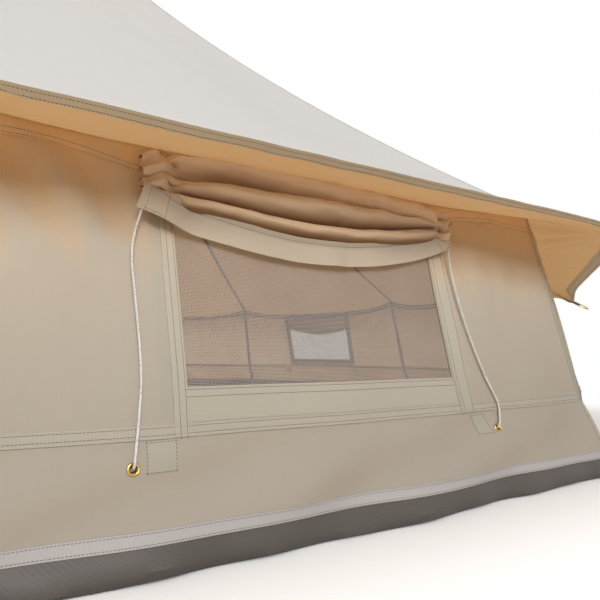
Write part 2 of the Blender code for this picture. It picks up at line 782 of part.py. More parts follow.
def make_door_poles():
    inside = CANVAS / 2 + DOOR_POLE_CLEARANCE + DOOR_POLE_RADIUS
    foot, top = door_pole_ends(inside)
    length = (top - foot).length
    bore = DOOR_POLE_RADIUS - POLE_WALL
    tube = (
        (0.0, POLE_WALL),
        (bore, POLE_WALL),
        (bore, length),
        (DOOR_POLE_RADIUS, length),
        (DOOR_POLE_RADIUS, 0.0),
        (0.0, 0.0),
    )
    for hand, name in ((-1, "left"), (1, "right")):
        start = Vector((hand * foot.x, foot.y, -inside))
        aim = Vector((hand * (top.x - foot.x), top.y - foot.y, 0.0))
        turn = aim.to_track_quat("Z", "Y").to_matrix().to_4x4()
        place = door_plane() @ Matrix.Translation(start) @ turn
        turned_profile(f"door_pole_{name}", tube, POLE_STEPS, STEEL, place)


make_roof()
make_front_roof()
make_rings()
make_walls()
make_windows()
make_groundsheet()
make_peak_cap()
make_centre_pole()
make_door_surround()
make_door_leaves()
make_zip_pull()
make_door_poles()

# Round pieces are shaded smooth across their shallow edges
for thing in TENT.objects:
    if thing.type == "MESH":
        thing.data.shade_smooth()
        thing.data.set_sharp_from_angle(angle=math.radians(35))
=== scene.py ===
"""Bell tent in canvas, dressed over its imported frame, with a plain floor, soft light and a camera."""

import math

import bmesh
import bpy
import numpy as np
from mathutils import Matrix, Vector


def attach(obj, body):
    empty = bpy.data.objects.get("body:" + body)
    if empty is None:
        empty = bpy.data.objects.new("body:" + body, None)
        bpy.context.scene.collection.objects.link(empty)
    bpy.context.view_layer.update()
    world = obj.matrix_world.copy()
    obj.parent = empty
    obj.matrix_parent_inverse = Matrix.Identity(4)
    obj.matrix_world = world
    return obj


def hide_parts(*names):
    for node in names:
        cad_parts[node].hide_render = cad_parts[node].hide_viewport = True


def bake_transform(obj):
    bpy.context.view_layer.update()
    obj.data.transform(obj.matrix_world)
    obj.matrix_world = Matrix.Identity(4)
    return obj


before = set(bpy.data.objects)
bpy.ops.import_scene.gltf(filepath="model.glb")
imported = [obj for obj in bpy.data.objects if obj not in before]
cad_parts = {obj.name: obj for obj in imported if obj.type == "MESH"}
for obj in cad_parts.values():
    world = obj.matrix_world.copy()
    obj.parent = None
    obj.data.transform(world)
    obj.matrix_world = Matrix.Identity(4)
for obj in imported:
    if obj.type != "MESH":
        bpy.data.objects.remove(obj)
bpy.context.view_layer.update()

# Sizes shared with the part, in metres

SIDES = 10
HALF = math.pi / SIDES
BASE_FLAT = 2.500
LEAN = math.radians(13.25)
WALL_BULGE = 0.046
WALL_FOOT = 0.045
SEAM_MID, SEAM_CORNER = 0.637, 0.700
PEAK_HEIGHT = 2.700
HIP_SLOPE = 0.61
REACH_MID, REACH_TIP = 0.200, 0.285
EDGE_MID, TIP_HEIGHT = 0.605, 0.560
TIP_SHARE = 0.97
PEAK_HOLE = 0.060
STRAP_WIDTH, STRAP_REACH, STRAP_LAP = 0.024, 0.025, 0.050
RING_WIRE, RING_LENGTH, RING_HALF_WIDTH, RING_BAR_HALF = 0.005, 0.052, 0.019, 0.0135
POLE_RADIUS, POLE_JOINT = 0.019, 1.350
DOOR_PEAK, DOOR_SILL, DOOR_TOP = 1.900, 0.090, 1.690
DOOR_HALF_WIDTH, DOOR_TOP_HALF_WIDTH = 0.640, 0.030
DOOR_GAP, RAIN_EDGE = 0.002, 0.040
WINDOW_SIDES = {"right": 2, "rear": 5, "left": 8}
WINDOW_HALF, WINDOW_SILL, WINDOW_TOP = 0.290, 0.251, 0.590
HEM_HALF_WIDTH, HEM_HEIGHT, HEM_OUT, HEM_THICK = 0.352, 0.044, 0.014, 0.003
HEM_LOWEST, HEM_LOWEST_AT, HEM_SAG = 0.457, -0.020, 0.50
FLAP_TOP, FLAP_HALF = 0.628, 0.346
EYELET_HEIGHT, EYELET_RADIUS, EYELET_BORE = 0.144, 0.0095, 0.0054
EYELET_AT = {"left": -0.377, "right": 0.411}
CORD_DIAMETER = 0.0042
CORD_STARTS = {"left": -0.352, "right": 0.345}  # across, at the flap hem's corners
CORD_ROUTES = {  # across, height and out from the wall
    "left": (
        (-0.347, 0.5155, 0.0140), (-0.357, 0.480, 0.0140), (-0.364, 0.440, 0.0130),
        (-0.362, 0.380, 0.0110), (-0.360, 0.320, 0.0090), (-0.361, 0.262, 0.0080),
        (-0.368, 0.205, 0.0075), (-0.3755, 0.162, 0.0078), (-0.377, 0.1495, 0.0062),
        (-0.377, 0.1445, 0.0010), (-0.377, 0.1435, -0.0060), (-0.377, 0.1430, -0.0160),
    ),
    "right": (
        (0.347, 0.5145, 0.0140), (0.344, 0.480, 0.0140), (0.348, 0.420, 0.0120),
        (0.357, 0.365, 0.0105), (0.369, 0.318, 0.0090), (0.395, 0.250, 0.0080),
        (0.420, 0.198, 0.0080), (0.4195, 0.168, 0.0080), (0.4125, 0.1500, 0.0064),
        (0.411, 0.1445, 0.0010), (0.411, 0.1435, -0.0060), (0.411, 0.1430, -0.0160),
    ),
}

# Sizes of the sewing that only shows on the cloth

HEM_EDGE = 0.1805  # lower edge of the wall over the skirt
TAPE_LOW, TAPE_HIGH, SHEET_THICK = 0.0454, 0.0640, 0.0012
LAYER, THREAD_PITCH = 0.0010, 0.0011  # one more layer of canvas, and two of its threads
STITCH_PITCH, STITCH_LENGTH, STITCH_THICK = 0.0048, 0.0040, 0.0010
STITCH_LIFT = 0.0004  # middle of a stitch over the cloth that it is sewn on
ZIP_TOOTH = 0.0032, 0.0019, 0.0030  # pitch, length and width
HEM_DROP, HEM_STITCHES = 0.0014, (0.010, 0.034)  # the eave's hem: its thickness, and how far in it is sewn
HEM_SECTION = (  # inset from the eave's edge, and drop
    (0.0, 0.0), (0.003, 0.0009),
    *((inset, HEM_DROP) for inset in (0.010, 0.020, 0.030, 0.043)), (0.0436, 0.0),
)
FELL_SECTION = (0.0, 0.0012), (0.0085, 0.0012), (0.0090, -0.0003)  # half of a felled seam: inset and lift
FELL_STITCH, FELL_STITCH_LIFT = 0.0062, 0.0015
RAIN_HEM = (1.35, 0.0004), (1.36, 0.0016), (2.0, 0.0018), (2.01, -0.0006)  # reach over the door, and drop
TOP_BAND, HEM_BAND, CORNER_BAND = 0.036, 0.0185, 0.013  # widths of a wall's sewn bands
INNER_WALL, INNER_ROOF, INNER_BINDING = -0.0035, -0.0018, -0.0030  # how far in the inner tapes lie, which are painted dark as the shade of seams against the light through the canvas
SLOPE_LENGTH, OVERHANG, PANEL_HALF, EAVE_HALF, FRONT_HALF = 2.9, 0.12, 0.76, 0.85, 1.2  # of the roof's weave

# Folds and waves in the cloth

WALL_PLEATS, WALL_WAVE, SKIRT_RIPPLES, SKIRT_FLARE = (0.0068, 0.0014), 0.0026, (0.0125, 0.0040), 0.034
FOLD_TURN, FOLD_SLANT, FOLD_START = 2 * math.pi / 0.105, 0.63, 0.058  # folds that a flap pulls in a wall
FOLD_LEFT, FOLD_RIGHT = 0.0060, 0.0017
ROOF_WAVE, FRONT_SAG, DOOR_WAVE = 0.0022, 0.020, 0.0022
EAVE_CREASE, EAVE_PLEAT, EAVE_BELLY = 0.0065, 0.0028, 0.006

# Shape of the tent


def smooth(value, low, high):
    share = np.clip((np.asarray(value, float) - low) / (high - low), 0.0, 1.0)
    return share * share * (3 - 2 * share)


def together(*parts):
    """Arrays of one shape, or that spread to one, side by side on a last axis."""
    return np.stack(np.broadcast_arrays(*parts), -1)


def raised(points, lift):
    """A copy of some points, higher or lower."""
    moved = np.array(points, float)
    moved[..., 2] += lift
    return moved


def far_along(points):
    """How far each point is along its line, from the first."""
    steps = np.linalg.norm(np.diff(points, axis=0, prepend=points[:1]), axis=-1)
    return np.cumsum(steps, axis=0)


def unit(vectors):
    return vectors / np.linalg.norm(vectors, axis=-1, keepdims=True)


def chord(height):
    return BASE_FLAT - math.tan(LEAN) * height


def half_width(height):
    return chord(height) * math.tan(HALF)


def seam_height(share):
    return SEAM_MID + (SEAM_CORNER - SEAM_MID) * share**4


HIP_RADIUS = chord(SEAM_CORNER) / math.cos(HALF)
HIP_CURVE = (PEAK_HEIGHT - SEAM_CORNER - HIP_SLOPE * HIP_RADIUS) / HIP_RADIUS**2
TIP_RADIUS = HIP_RADIUS + REACH_TIP
TIP_FLAT = TIP_RADIUS * math.cos(HALF)
EAVE_FLAT = chord(SEAM_MID) + WALL_BULGE + REACH_MID
TIP_DIP = math.atan2(SEAM_CORNER - TIP_HEIGHT, REACH_TIP)
TOP_REACH = PEAK_HOLE / HIP_RADIUS


def hip_height(radius):
    run = HIP_RADIUS - radius
    return SEAM_CORNER + HIP_SLOPE * run + HIP_CURVE * run**2


def side_angle(side):
    return -math.pi / 2 + 2 * HALF * side


def to_tent(side, points):
    """Points of a side that faces +X, turned to where that side is."""
    c, s = math.cos(side_angle(side)), math.sin(side_angle(side))
    return np.asarray(points) @ np.array(((c, s, 0), (-s, c, 0), (0, 0, 1)))


def drape(side, across, height):
    """Soft waves of a wall's canvas: under the eave, over the wall and along the skirt."""
    phase = np.random.default_rng(40 + side).uniform(0, 2 * math.pi, 8)
    share = np.clip(across / half_width(height), -1, 1)
    below = np.clip(seam_height(share) - height, 0, None)
    near_top = np.exp(-below / 0.15) * np.minimum(below / 0.04, 1)
    pleats = WALL_PLEATS[0] * np.sin(across * 41 + 1.4 * np.sin(across * 15 + phase[0]) + phase[1])
    pleats = pleats + WALL_PLEATS[1] * np.sin(across * 118 + 1.8 * np.sin(across * 23 + phase[6]))
    top = near_top * pleats
    wide = np.sin(across * 13 + height * 7 + phase[2]) + np.sin(across * 20 - height * 11 + phase[3])
    body = WALL_WAVE * wide * np.minimum(below / 0.1, 1)
    if side in WINDOW_SIDES.values():
        body = body + pulled_folds(across, height)
    low = np.clip((HEM_EDGE - height) / (HEM_EDGE - WALL_FOOT), 0, 1)
    ripple = SKIRT_RIPPLES[0] * np.sin(across * 13 - height * 40 + phase[4])
    ripple = ripple + SKIRT_RIPPLES[1] * np.sin(across * 27 - height * 20 + phase[5])
    return (1 - share**8) * (top + body + low * (1.5 - 1.15 * low) * ripple)


def pulled_folds(across, height):
    """Folds beside a drawn-up flap: slanting ones on its left and fine upright ones on its right."""
    slant = np.cos(FOLD_TURN * (across + FOLD_SLANT * height + FOLD_START))
    left = -FOLD_LEFT * slant * smooth(-across, 0.31, 0.37) * smooth(height, 0.38, 0.54)
    right = FOLD_RIGHT * np.sin(across * 138) * smooth(across, 0.34, 0.40) * smooth(height, 0.44, 0.56)
    return (left + right) * smooth(0.64 - height, 0, 0.05)


def on_wall(side, across, height, out=0.0):
    """Points of a side's wall in the tent's frame, some way out from the canvas."""
    share = np.clip(across / half_width(height), -1, 1)
    swell = 0.0 if side == 0 else WALL_BULGE
    low = np.clip((HEM_EDGE - height) / HEM_EDGE, 0, 1)
    flare = SKIRT_FLARE * low**0.7 * share**8
    flat = chord(height) + swell * (1 - share**2) + drape(side, across, height) + flare
    spread = across * (1 + flare / chord(height))
    points = together(flat + out * math.cos(LEAN), spread, height + out * math.sin(LEAN))
    return to_tent(side, points)


def roof(side, share, reach):
    """Points of a roof panel above the eave seam, where reach is 1 at the seam and less up the roof."""
    radius = HIP_RADIUS * reach
    seam = seam_height(share)
    swell = chord(seam) + WALL_BULGE * (1 - share**2) - chord(SEAM_CORNER)
    flat = radius * math.cos(HALF) + swell * reach**3
    height = hip_height(radius) - (SEAM_CORNER - seam) * reach**2
    phase = np.random.default_rng(80 + side).uniform(0, 2 * math.pi, 4)
    waves = np.sin(share * 7 + reach * 9 + phase[0]) + np.sin(share * 12 - reach * 16 + phase[1])
    waves = waves * (1 - share**6) * smooth(1 - reach, 0, 0.15) * smooth(reach, 0.03, 0.3)
    height = height + ROOF_WAVE * waves
    return to_tent(side, together(flat, share * radius * math.sin(HALF), height))


def eave(side, share, run):
    """Points of the overhang, where run is 0 at the eave seam and 1 at its edge."""
    across = share * TIP_FLAT * math.tan(HALF)
    flat = EAVE_FLAT + (TIP_FLAT - EAVE_FLAT) * share**4
    near_tip = np.minimum(abs(share) / TIP_SHARE, 1.0)
    height = EDGE_MID - (EDGE_MID - TIP_HEIGHT) * near_tip**12
    edge = to_tent(side, together(flat, across, height))
    start = roof(side, share, np.ones_like(share))
    run = np.asarray(run, float)
    points = start + (edge - start) * run[..., None]
    ray = (1 - abs(share)) * 40 / (1.15 - run)
    crease = np.sin(ray + side) * smooth(abs(share), 0.45, 0.85) * smooth(1 - abs(share), 0, 0.08)
    pleats = np.sin(share * 34 + 1.5 * np.sin(share * 11 + side)) * (1 - share**8)
    arch = np.sin(math.pi * np.clip(run, 0, 1))
    points[..., 2] += (1.6 * EAVE_CREASE * crease * (1 - run) - EAVE_BELLY * (1 - share**8)) * arch
    points[..., 2] += EAVE_PLEAT * pleats * run * (1.15 - run)
    return points


def front_roof(share, reach):
    """Points of the front roof, from the hips beside the door up to the ridge over it."""
    inner = np.minimum(reach, 1.0)
    radius = HIP_RADIUS * inner
    wide = np.sign(share) * radius * math.sin(HALF)
    hip = together(radius * math.cos(HALF), wide, hip_height(radius))
    door_end = np.array((chord(DOOR_PEAK), 0, DOOR_PEAK))
    peak_end = np.array((PEAK_HOLE * math.cos(HALF), 0, hip_height(PEAK_HOLE)))
    ridge = peak_end + (door_end - peak_end) * ((inner - TOP_REACH) / (1 - TOP_REACH))[..., None]
    points = ridge + (hip - ridge) * abs(share)[..., None]
    sag = np.sin(math.pi * abs(share)) * np.sin(math.pi * np.clip(inner, 0, 1)) ** 0.8
    points[..., 2] -= FRONT_SAG * sag
    along = (door_end - peak_end) / np.linalg.norm(door_end - peak_end)
    points += along * (RAIN_EDGE * np.clip(reach - 1, 0, 1))[..., None]
    return to_tent(0, points)


# Shader groups and materials


class Shader:
    """A node tree that is filled a node at a time."""

    def __init__(self, tree):
        self.tree = tree

    def node(self, kind, values=None, **settings):
        made = self.tree.nodes.new(kind)
        for key, value in settings.items():
            setattr(made, key, value)
        for key, value in (values or {}).items():
            if isinstance(value, bpy.types.NodeSocket):
                self.tree.links.new(value, made.inputs[key])
            else:
                made.inputs[key].default_value = value
        return made

    def maths(self, operation, *values):
        made = self.node("ShaderNodeMath", dict(enumerate(values)), operation=operation)
        return made.outputs[0]

    def noise(self, vector, scale, detail=2.0, roughness=0.5):
        values = {"Vector": vector, "Scale": scale, "Detail": detail, "Roughness": roughness}
        return self.node("ShaderNodeTexNoise", values).outputs["Fac"]

    def stretched(self, vector, scale, turn=0.0):
        values = {"Vector": vector, "Scale": scale, "Rotation": (0, 0, turn)}
        return self.node("ShaderNodeMapping", values).outputs["Vector"]

    def ramp(self, value, low, high, start=0.0, end=1.0):
        values = {"Value": value, "From Min": low, "From Max": high, "To Min": start, "To Max": end}
        return self.node("ShaderNodeMapRange", values).outputs["Result"]

    def cloth_place(self):
        """The cloth's own UV map, and its two parts."""
        place = self.node("ShaderNodeUVMap", uv_map="weave").outputs["UV"]
        parts = self.node("ShaderNodeSeparateXYZ", {0: place}).outputs
        return place, parts[0], parts[1]

    def bump(self, height, strength, distance):
        values = {"Height": height, "Strength": strength, "Distance": distance}
        return self.node("ShaderNodeBump", values).outputs["Normal"]

    def tinted(self, tone, colour):
        """A colour that a tone makes lighter or darker."""
        values = {0: colour, "Scale": tone}
        return self.node("ShaderNodeVectorMath", values, operation="SCALE").outputs["Vector"]

    def blended(self, share, first, second):
        """The first colour where the share is 0 and the second where it is 1."""
        values = {"Factor": share, 6: first, 7: second}
        return self.node("ShaderNodeMix", values, data_type="RGBA").outputs[2]

    def mixed(self, share, first, second):
        """The first shader where the share is 0 and the second where it is 1."""
        values = {0: share, 1: first.outputs[0], 2: second.outputs[0]}
        return self.node("ShaderNodeMixShader", values)

    def show(self, made, kind="ShaderNodeOutputMaterial"):
        self.node(kind, {"Surface": made.outputs[0]})


def shader_group(name, inputs, outputs):
    """A new group of float sockets: its inputs with their defaults, and its outputs."""
    tree = bpy.data.node_groups.new(name, "ShaderNodeTree")
    for title, value in inputs.items():
        made = tree.interface.new_socket(title, in_out="INPUT", socket_type="NodeSocketFloat")
        made.default_value = value
    for title in outputs:
        tree.interface.new_socket(title, in_out="OUTPUT", socket_type="NodeSocketFloat")
    shader = Shader(tree)
    return shader, shader.node("NodeGroupInput").outputs


def make_weave_group():
    """Plain weave with slubs, blotches and creases, on the cloth's UV map: a tone near 1 and a height."""
    shader, given = shader_group("canvas_weave", {"Blotch": 0.08}, ("Tone", "Height"))
    place, across, up = shader.cloth_place()
    per_metre = 2 * math.pi / THREAD_PITCH
    threads = [shader.maths("SINE", shader.maths("MULTIPLY", part, per_metre)) for part in (across, up)]
    weave = shader.maths("MULTIPLY", *threads)
    thick_weft = shader.noise(shader.stretched(place, (34, 800, 1)), 1.0, 2.0)
    thick_warp = shader.noise(shader.stretched(place, (800, 30, 1)), 1.0, 2.0)
    slubs = shader.maths("SUBTRACT", shader.maths("ADD", thick_weft, thick_warp), 1.0)
    blotch = shader.maths("SUBTRACT", shader.noise(place, 3.4, 4.0, 0.6), 0.5)
    tone = shader.maths("MULTIPLY_ADD", slubs, 0.08, 1.0)
    tone = shader.maths("MULTIPLY_ADD", blotch, given["Blotch"], tone)
    tone = shader.maths("MULTIPLY_ADD", weave, 0.018, tone)
    height = shader.maths("MULTIPLY_ADD", weave, 0.35, shader.maths("MULTIPLY", slubs, 0.8))
    creases = shader.noise(shader.stretched(place, (17, 11, 1)), 1.0, 4.0, 0.55)
    height = shader.maths("MULTIPLY_ADD", creases, 3.0, height)
    shader.node("NodeGroupOutput", {"Tone": tone, "Height": height})
    return shader.tree


def make_wear_group():
    """Uneven wear on metal and thread: a tone near 1, a roughness and a height, on Object coordinates."""
    inputs = {"Scale": 60.0, "Depth": 0.2, "Base": 0.3}
    shader, given = shader_group("uneven_wear", inputs, ("Tone", "Roughness", "Height"))
    place = shader.node("ShaderNodeTexCoord").outputs["Object"]
    coarse = shader.noise(place, given["Scale"], 5.0, 0.6)
    fine = shader.noise(shader.stretched(place, (9, 9, 9)), given["Scale"], 3.0, 0.7)
    mixed = shader.maths("SUBTRACT", shader.maths("ADD", coarse, fine), 1.0)
    tone = shader.maths("MULTIPLY_ADD", mixed, given["Depth"], 1.0)
    rough = shader.maths("MULTIPLY_ADD", mixed, 0.35, given["Base"])
    shader.node("NodeGroupOutput", {"Tone": tone, "Roughness": rough, "Height": fine})
    return shader.tree


WEAVE = make_weave_group()
WEAR = make_wear_group()


def start_material(name):
    made = bpy.data.materials.new(name)
    made.use_nodes = True
    made.node_tree.nodes.clear()
    return made, Shader(made.node_tree)


def wall_colour_with_painted_shade(shader, tone, outside, eave_shade_colour):
    """A wall's colour with painted shade: deeper and more orange under the eave, reaching down in slanting
    strips along the creases left of a drawn-up flap, and darker towards its foot where less light falls.
    """
    place, across, height = shader.cloth_place()
    # Painted shade: the wall darkens towards its foot, where less light reaches it
    foot_shade_tone = shader.maths("MULTIPLY", tone, shader.ramp(height, *FOOT_SHADE_HEIGHTS))
    # Painted shade: above an uneven edge the wall's colour turns to a deeper orange shade colour, as under
    # the eave
    edge = height
    for scale, turn, weight in (((4.2, 1.5, 1), -0.5, 0.06), ((62, 1.6, 1), 0.0, 0.085)):
        uneven = shader.noise(shader.stretched(place, scale, turn), 1.0, 2.0)
        edge = shader.maths("MULTIPLY_ADD", shader.maths("SUBTRACT", uneven, 0.5), weight, edge)
    # The painted shade reaches further down along the slanting creases left of a drawn-up flap
    slant = shader.maths("MULTIPLY_ADD", height, FOLD_SLANT, shader.maths("ADD", across, FOLD_START))
    tongues = shader.maths("COSINE", shader.maths("MULTIPLY", slant, FOLD_TURN))
    edge = shader.maths("MULTIPLY_ADD", tongues, shader.ramp(across, -0.36, -0.28, 0.024, 0.003), edge)
    eave_shade_mask = shader.ramp(edge, *EAVE_SHADE_HEIGHTS)
    return shader.blended(eave_shade_mask, shader.tinted(foot_shade_tone, outside), shader.tinted(tone, eave_shade_colour))


def canvas(name, outside, inside, glow, passing, eave_shade_colour=None, crease_shade_colour=None, blotch=0.08):
    """Cotton canvas that lets some light through, with a colour on each face. A drawn-up flap gets painted
    shade in its creases, and a wall gets painted shade under its eave and towards its foot."""
    made, shader = start_material(name)
    weave = shader.node("ShaderNodeGroup", {"Blotch": blotch}, node_tree=WEAVE)
    tone = weave.outputs["Tone"]
    outer = shader.tinted(tone, outside)
    if eave_shade_colour is not None:
        outer = wall_colour_with_painted_shade(shader, tone, outside, eave_shade_colour)
    if crease_shade_colour is not None:
        # Painted shade in the flap's creases, from its fold attribute
        fold = shader.node("ShaderNodeAttribute", attribute_name="fold").outputs["Fac"]
        outer = shader.blended(fold, outer, shader.tinted(tone, crease_shade_colour))
    back = shader.node("ShaderNodeNewGeometry").outputs["Backfacing"]
    values = {
        "Base Color": shader.blended(back, outer, shader.tinted(tone, inside)),
        "Roughness": 0.86,
        "Specular IOR Level": 0.22,
        "Sheen Weight": 0.12,
        "Sheen Roughness": 0.5,
        "Normal": shader.bump(weave.outputs["Height"], 0.35, 0.0004),
    }
    body = shader.node("ShaderNodeBsdfPrincipled", values)
    through = shader.node("ShaderNodeBsdfTranslucent", {"Color": (*glow, 1)})
    shader.show(shader.mixed(passing, body, through))
    return made


def worn(name, colour, roughness, metallic, scale=60.0, depth=0.2):
    """Metal or thread with uneven wear."""
    made, shader = start_material(name)
    wear = shader.node("ShaderNodeGroup", {"Scale": scale, "Depth": depth, "Base": roughness}, node_tree=WEAR)
    values = {
        "Base Color": shader.tinted(wear.outputs["Tone"], colour),
        "Roughness": wear.outputs["Roughness"],
        "Metallic": metallic,
        "Normal": shader.bump(wear.outputs["Height"], 0.1, 0.0003),
    }
    shader.show(shader.node("ShaderNodeBsdfPrincipled", values))
    return made


def netting(name, colour, pitch, cover):
    """Fine net: threads on a square grid, and clear holes between them."""
    made, shader = start_material(name)
    place, across, up = shader.cloth_place()
    masks = []
    for part in (across, up):
        saw = shader.maths("PINGPONG", shader.maths("DIVIDE", part, pitch / 2), 1.0)
        masks.append(shader.ramp(saw, cover - 0.04, cover + 0.04, 1.0, 0.0))
    threads = shader.maths("MAXIMUM", *masks)
    tone = shader.ramp(shader.noise(place, 9.0, 3.0), 0.3, 0.7, 0.92, 1.08)
    values = {"Base Color": shader.tinted(tone, colour), "Roughness": 0.75, "Specular IOR Level": 0.15}
    body = shader.node("ShaderNodeBsdfPrincipled", values)
    shader.show(shader.mixed(threads, shader.node("ShaderNodeBsdfTransparent"), body))
    return made


def braided(name, colour, fleck):
    """Braided cord with dark flecks, on a UV map that is turns round and metres along."""
    made, shader = start_material(name)
    place, around, along = shader.cloth_place()
    along = shader.maths("MULTIPLY", along, 2 * math.pi / 0.0042)
    leans = [shader.maths("MULTIPLY_ADD", around, hand * 8 * math.pi, along) for hand in (1, -1)]
    strands = [shader.maths("SINE", lean) for lean in leans]
    spots = shader.noise(shader.stretched(place, (7, 230, 1)), 1.0, 1.0)
    values = {
        "Base Color": shader.blended(shader.ramp(spots, 0.60, 0.66), (*colour, 1), (*fleck, 1)),
        "Roughness": 0.7,
        "Specular IOR Level": 0.3,
        "Normal": shader.bump(shader.maths("MULTIPLY", *strands), 0.6, 0.0006),
    }
    shader.show(shader.node("ShaderNodeBsdfPrincipled", values))
    return made


def ribbed(name, colour, pitch, bump=0.5, roughness=0.7):
    """Woven tape or webbing with ribs across it."""
    made, shader = start_material(name)
    place, along = shader.cloth_place()[:2]
    ribs = shader.maths("SINE", shader.maths("MULTIPLY", along, 2 * math.pi / pitch))
    fine = shader.noise(shader.stretched(place, (300, 900, 1)), 1.0, 2.0)
    height = shader.maths("MULTIPLY_ADD", ribs, 0.5, fine)
    values = {
        "Base Color": shader.tinted(shader.maths("MULTIPLY_ADD", height, 0.09, 0.96), colour),
        "Roughness": roughness,
        "Specular IOR Level": 0.3,
        "Normal": shader.bump(height, bump, 0.0004),
    }
    shader.show(shader.node("ShaderNodeBsdfPrincipled", values))
    return made


EAVE_SHADE_HEIGHTS = 0.43, 0.63  # heights between which a wall's painted shade under the eave grows from none to full
FOOT_SHADE_HEIGHTS = 0.14, 0.42, 0.76, 1.0  # heights between which painted shade darkens a wall towards its foot, and its tone at each
# Each canvas has its outer and inner colours, the colour and share of light that passes, and colours of
# painted shade
# Painted light: the roof's pale outer colour stands for light on its top, and its dark orange inner colour is
# painted shade under the eave
ROOF_CANVAS_WITH_PAINTED_LIGHT = canvas(
    "roof_canvas", (0.67, 0.668, 0.65), (0.44, 0.29, 0.155), (0.70, 0.40, 0.168), 0.32, blotch=0.05
)
# The wall and band canvases carry painted shade under the eave, in their deeper orange shade colours
WALL_CANVAS_WITH_PAINTED_SHADE = canvas(
    "wall_canvas", (0.575, 0.538, 0.453), (0.73, 0.635, 0.54), (0.82, 0.585, 0.37), 0.34,
    eave_shade_colour=(0.84, 0.565, 0.30),
)
BAND_CANVAS_WITH_PAINTED_SHADE = canvas(
    "band_canvas", (0.520, 0.478, 0.395), (0.55, 0.43, 0.31), (0.80, 0.54, 0.32), 0.16,
    eave_shade_colour=(0.80, 0.54, 0.29),
)
DOOR_CANVAS = canvas("door_canvas", (0.53, 0.49, 0.41), (0.70, 0.56, 0.42), (0.98, 0.60, 0.30), 0.26)
SKIRT_CANVAS = canvas("skirt_canvas", (0.405, 0.374, 0.316), (0.48, 0.38, 0.28), (0.90, 0.58, 0.30), 0.24)
# Painted light: the flap's outer colour is brighter and more orange than the wall's canvas, as the eave's
# glow falls on it; its crease colour is painted shade
FLAP_CANVAS_WITH_PAINTED_LIGHT = canvas(
    "flap_canvas", (0.85, 0.65, 0.445), (0.70, 0.53, 0.37), (0.96, 0.58, 0.28), 0.18,
    crease_shade_colour=(0.25, 0.135, 0.062), blotch=0.05,
)
FLAP_HEM_CANVAS = canvas(
    "flap_hem_canvas", (0.50, 0.43, 0.34), (0.50, 0.41, 0.31), (0.92, 0.60, 0.32), 0.18, blotch=0.05
)
HEM_CANVAS = canvas("eave_hem_canvas", (0.72, 0.615, 0.45), (0.72, 0.615, 0.45), (0.60, 0.45, 0.25), 0.08)
# Painted shade: the inner seam tapes are dark as seams look against the light that comes through the canvas
INNER_SEAM_PAINTED_SHADE = canvas("inner_seam_canvas", (0.13, 0.105, 0.085), (0.13, 0.105, 0.085), (0.3, 0.2, 0.1), 0.03)
NETTING = netting("window_netting", (0.315, 0.28, 0.256), 0.0023, 0.35)
CORD = braided("white_cord", (0.66, 0.635, 0.62), (0.30, 0.29, 0.28))
THREAD = worn("grey_thread", (0.13, 0.125, 0.13), 0.7, 0.0, scale=400.0)
BRASS = worn("brass", (0.54, 0.345, 0.10), 0.28, 1.0, scale=90.0, depth=0.35)
STEEL = worn("galvanised_steel", (0.56, 0.57, 0.58), 0.36, 1.0, scale=45.0, depth=0.25)
WEBBING = ribbed("grey_webbing", (0.23, 0.215, 0.20), 0.0024)
TAPE = ribbed("base_tape", (0.36, 0.335, 0.325), 0.0030, bump=0.2)
ZIP_TAPE = ribbed("zip_tape", (0.13, 0.12, 0.115), 0.0016, bump=0.4)
SHEET = ribbed("groundsheet_grey", (0.078, 0.068, 0.061), 0.0040, bump=0.25, roughness=0.5)

# Meshes and pieces


def piece(name, mesh, look, body="tent", stands_for=()):
    """A finished piece that rides on a body, or on none yet."""
    made = bpy.data.objects.new(name, mesh)
    bpy.context.scene.collection.objects.link(made)
    mesh.materials.clear()
    mesh.materials.append(look)
    if body is not None:
        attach(made, body)
    if stands_for:
        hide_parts(*stands_for)
    return made


class Cloth:
    """Grids of points that become one mesh, with a UV map in metres along the weave."""

    def __init__(self):
        self.points, self.faces, self.places, self.count = [], [], [], 0

    def grid(self, points, places, keep=None, mirror=False):
        """Adds a grid of rows that go up and columns that go to the right, seen from outside.
        A mirrored grid is given with columns that go to the left."""
        rows, columns = points.shape[:2]
        places = np.broadcast_to(places, (rows, columns, 2))
        if mirror:
            points, places = points[:, ::-1], places[:, ::-1]
        index = self.count + np.arange(rows * columns).reshape(rows, columns)
        quads = np.stack([index[:-1, :-1], index[:-1, 1:], index[1:, 1:], index[1:, :-1]], -1)
        quads = quads.reshape(-1, 4) if keep is None else quads[keep]
        self.points.append(points.reshape(-1, 3))
        self.places.append(places.reshape(-1, 2))
        self.faces.append(quads)
        self.count += rows * columns
        return self

    def wall(self, side, across, height, out=0.0, keep=None):
        """Adds a grid that lies on a side's wall, some way out from its canvas."""
        return self.grid(on_wall(side, across, height, out), together(across, height), keep)

    def mesh(self, name, weld=0.0, sharp=40.0):
        mesh = bpy.data.meshes.new(name)
        points, faces = np.concatenate(self.points), np.concatenate(self.faces)
        mesh.from_pydata(points.tolist(), [], faces.tolist())
        places = np.concatenate(self.places)[faces.reshape(-1)]
        mesh.uv_layers.new(name="weave").data.foreach_set("uv", places.astype(np.float32).ravel())
        if weld:
            work = bmesh.new()
            work.from_mesh(mesh)
            bmesh.ops.remove_doubles(work, verts=work.verts, dist=weld)
            work.to_mesh(mesh)
            work.free()
        mesh.validate()
        mesh.shade_smooth()
        mesh.set_sharp_from_angle(angle=math.radians(sharp))
        return mesh

    def piece(self, name, look, body="tent", slot=None, stands_for=(), **finish):
        return piece(name, self.mesh(name, **finish), look, body, stands_for)


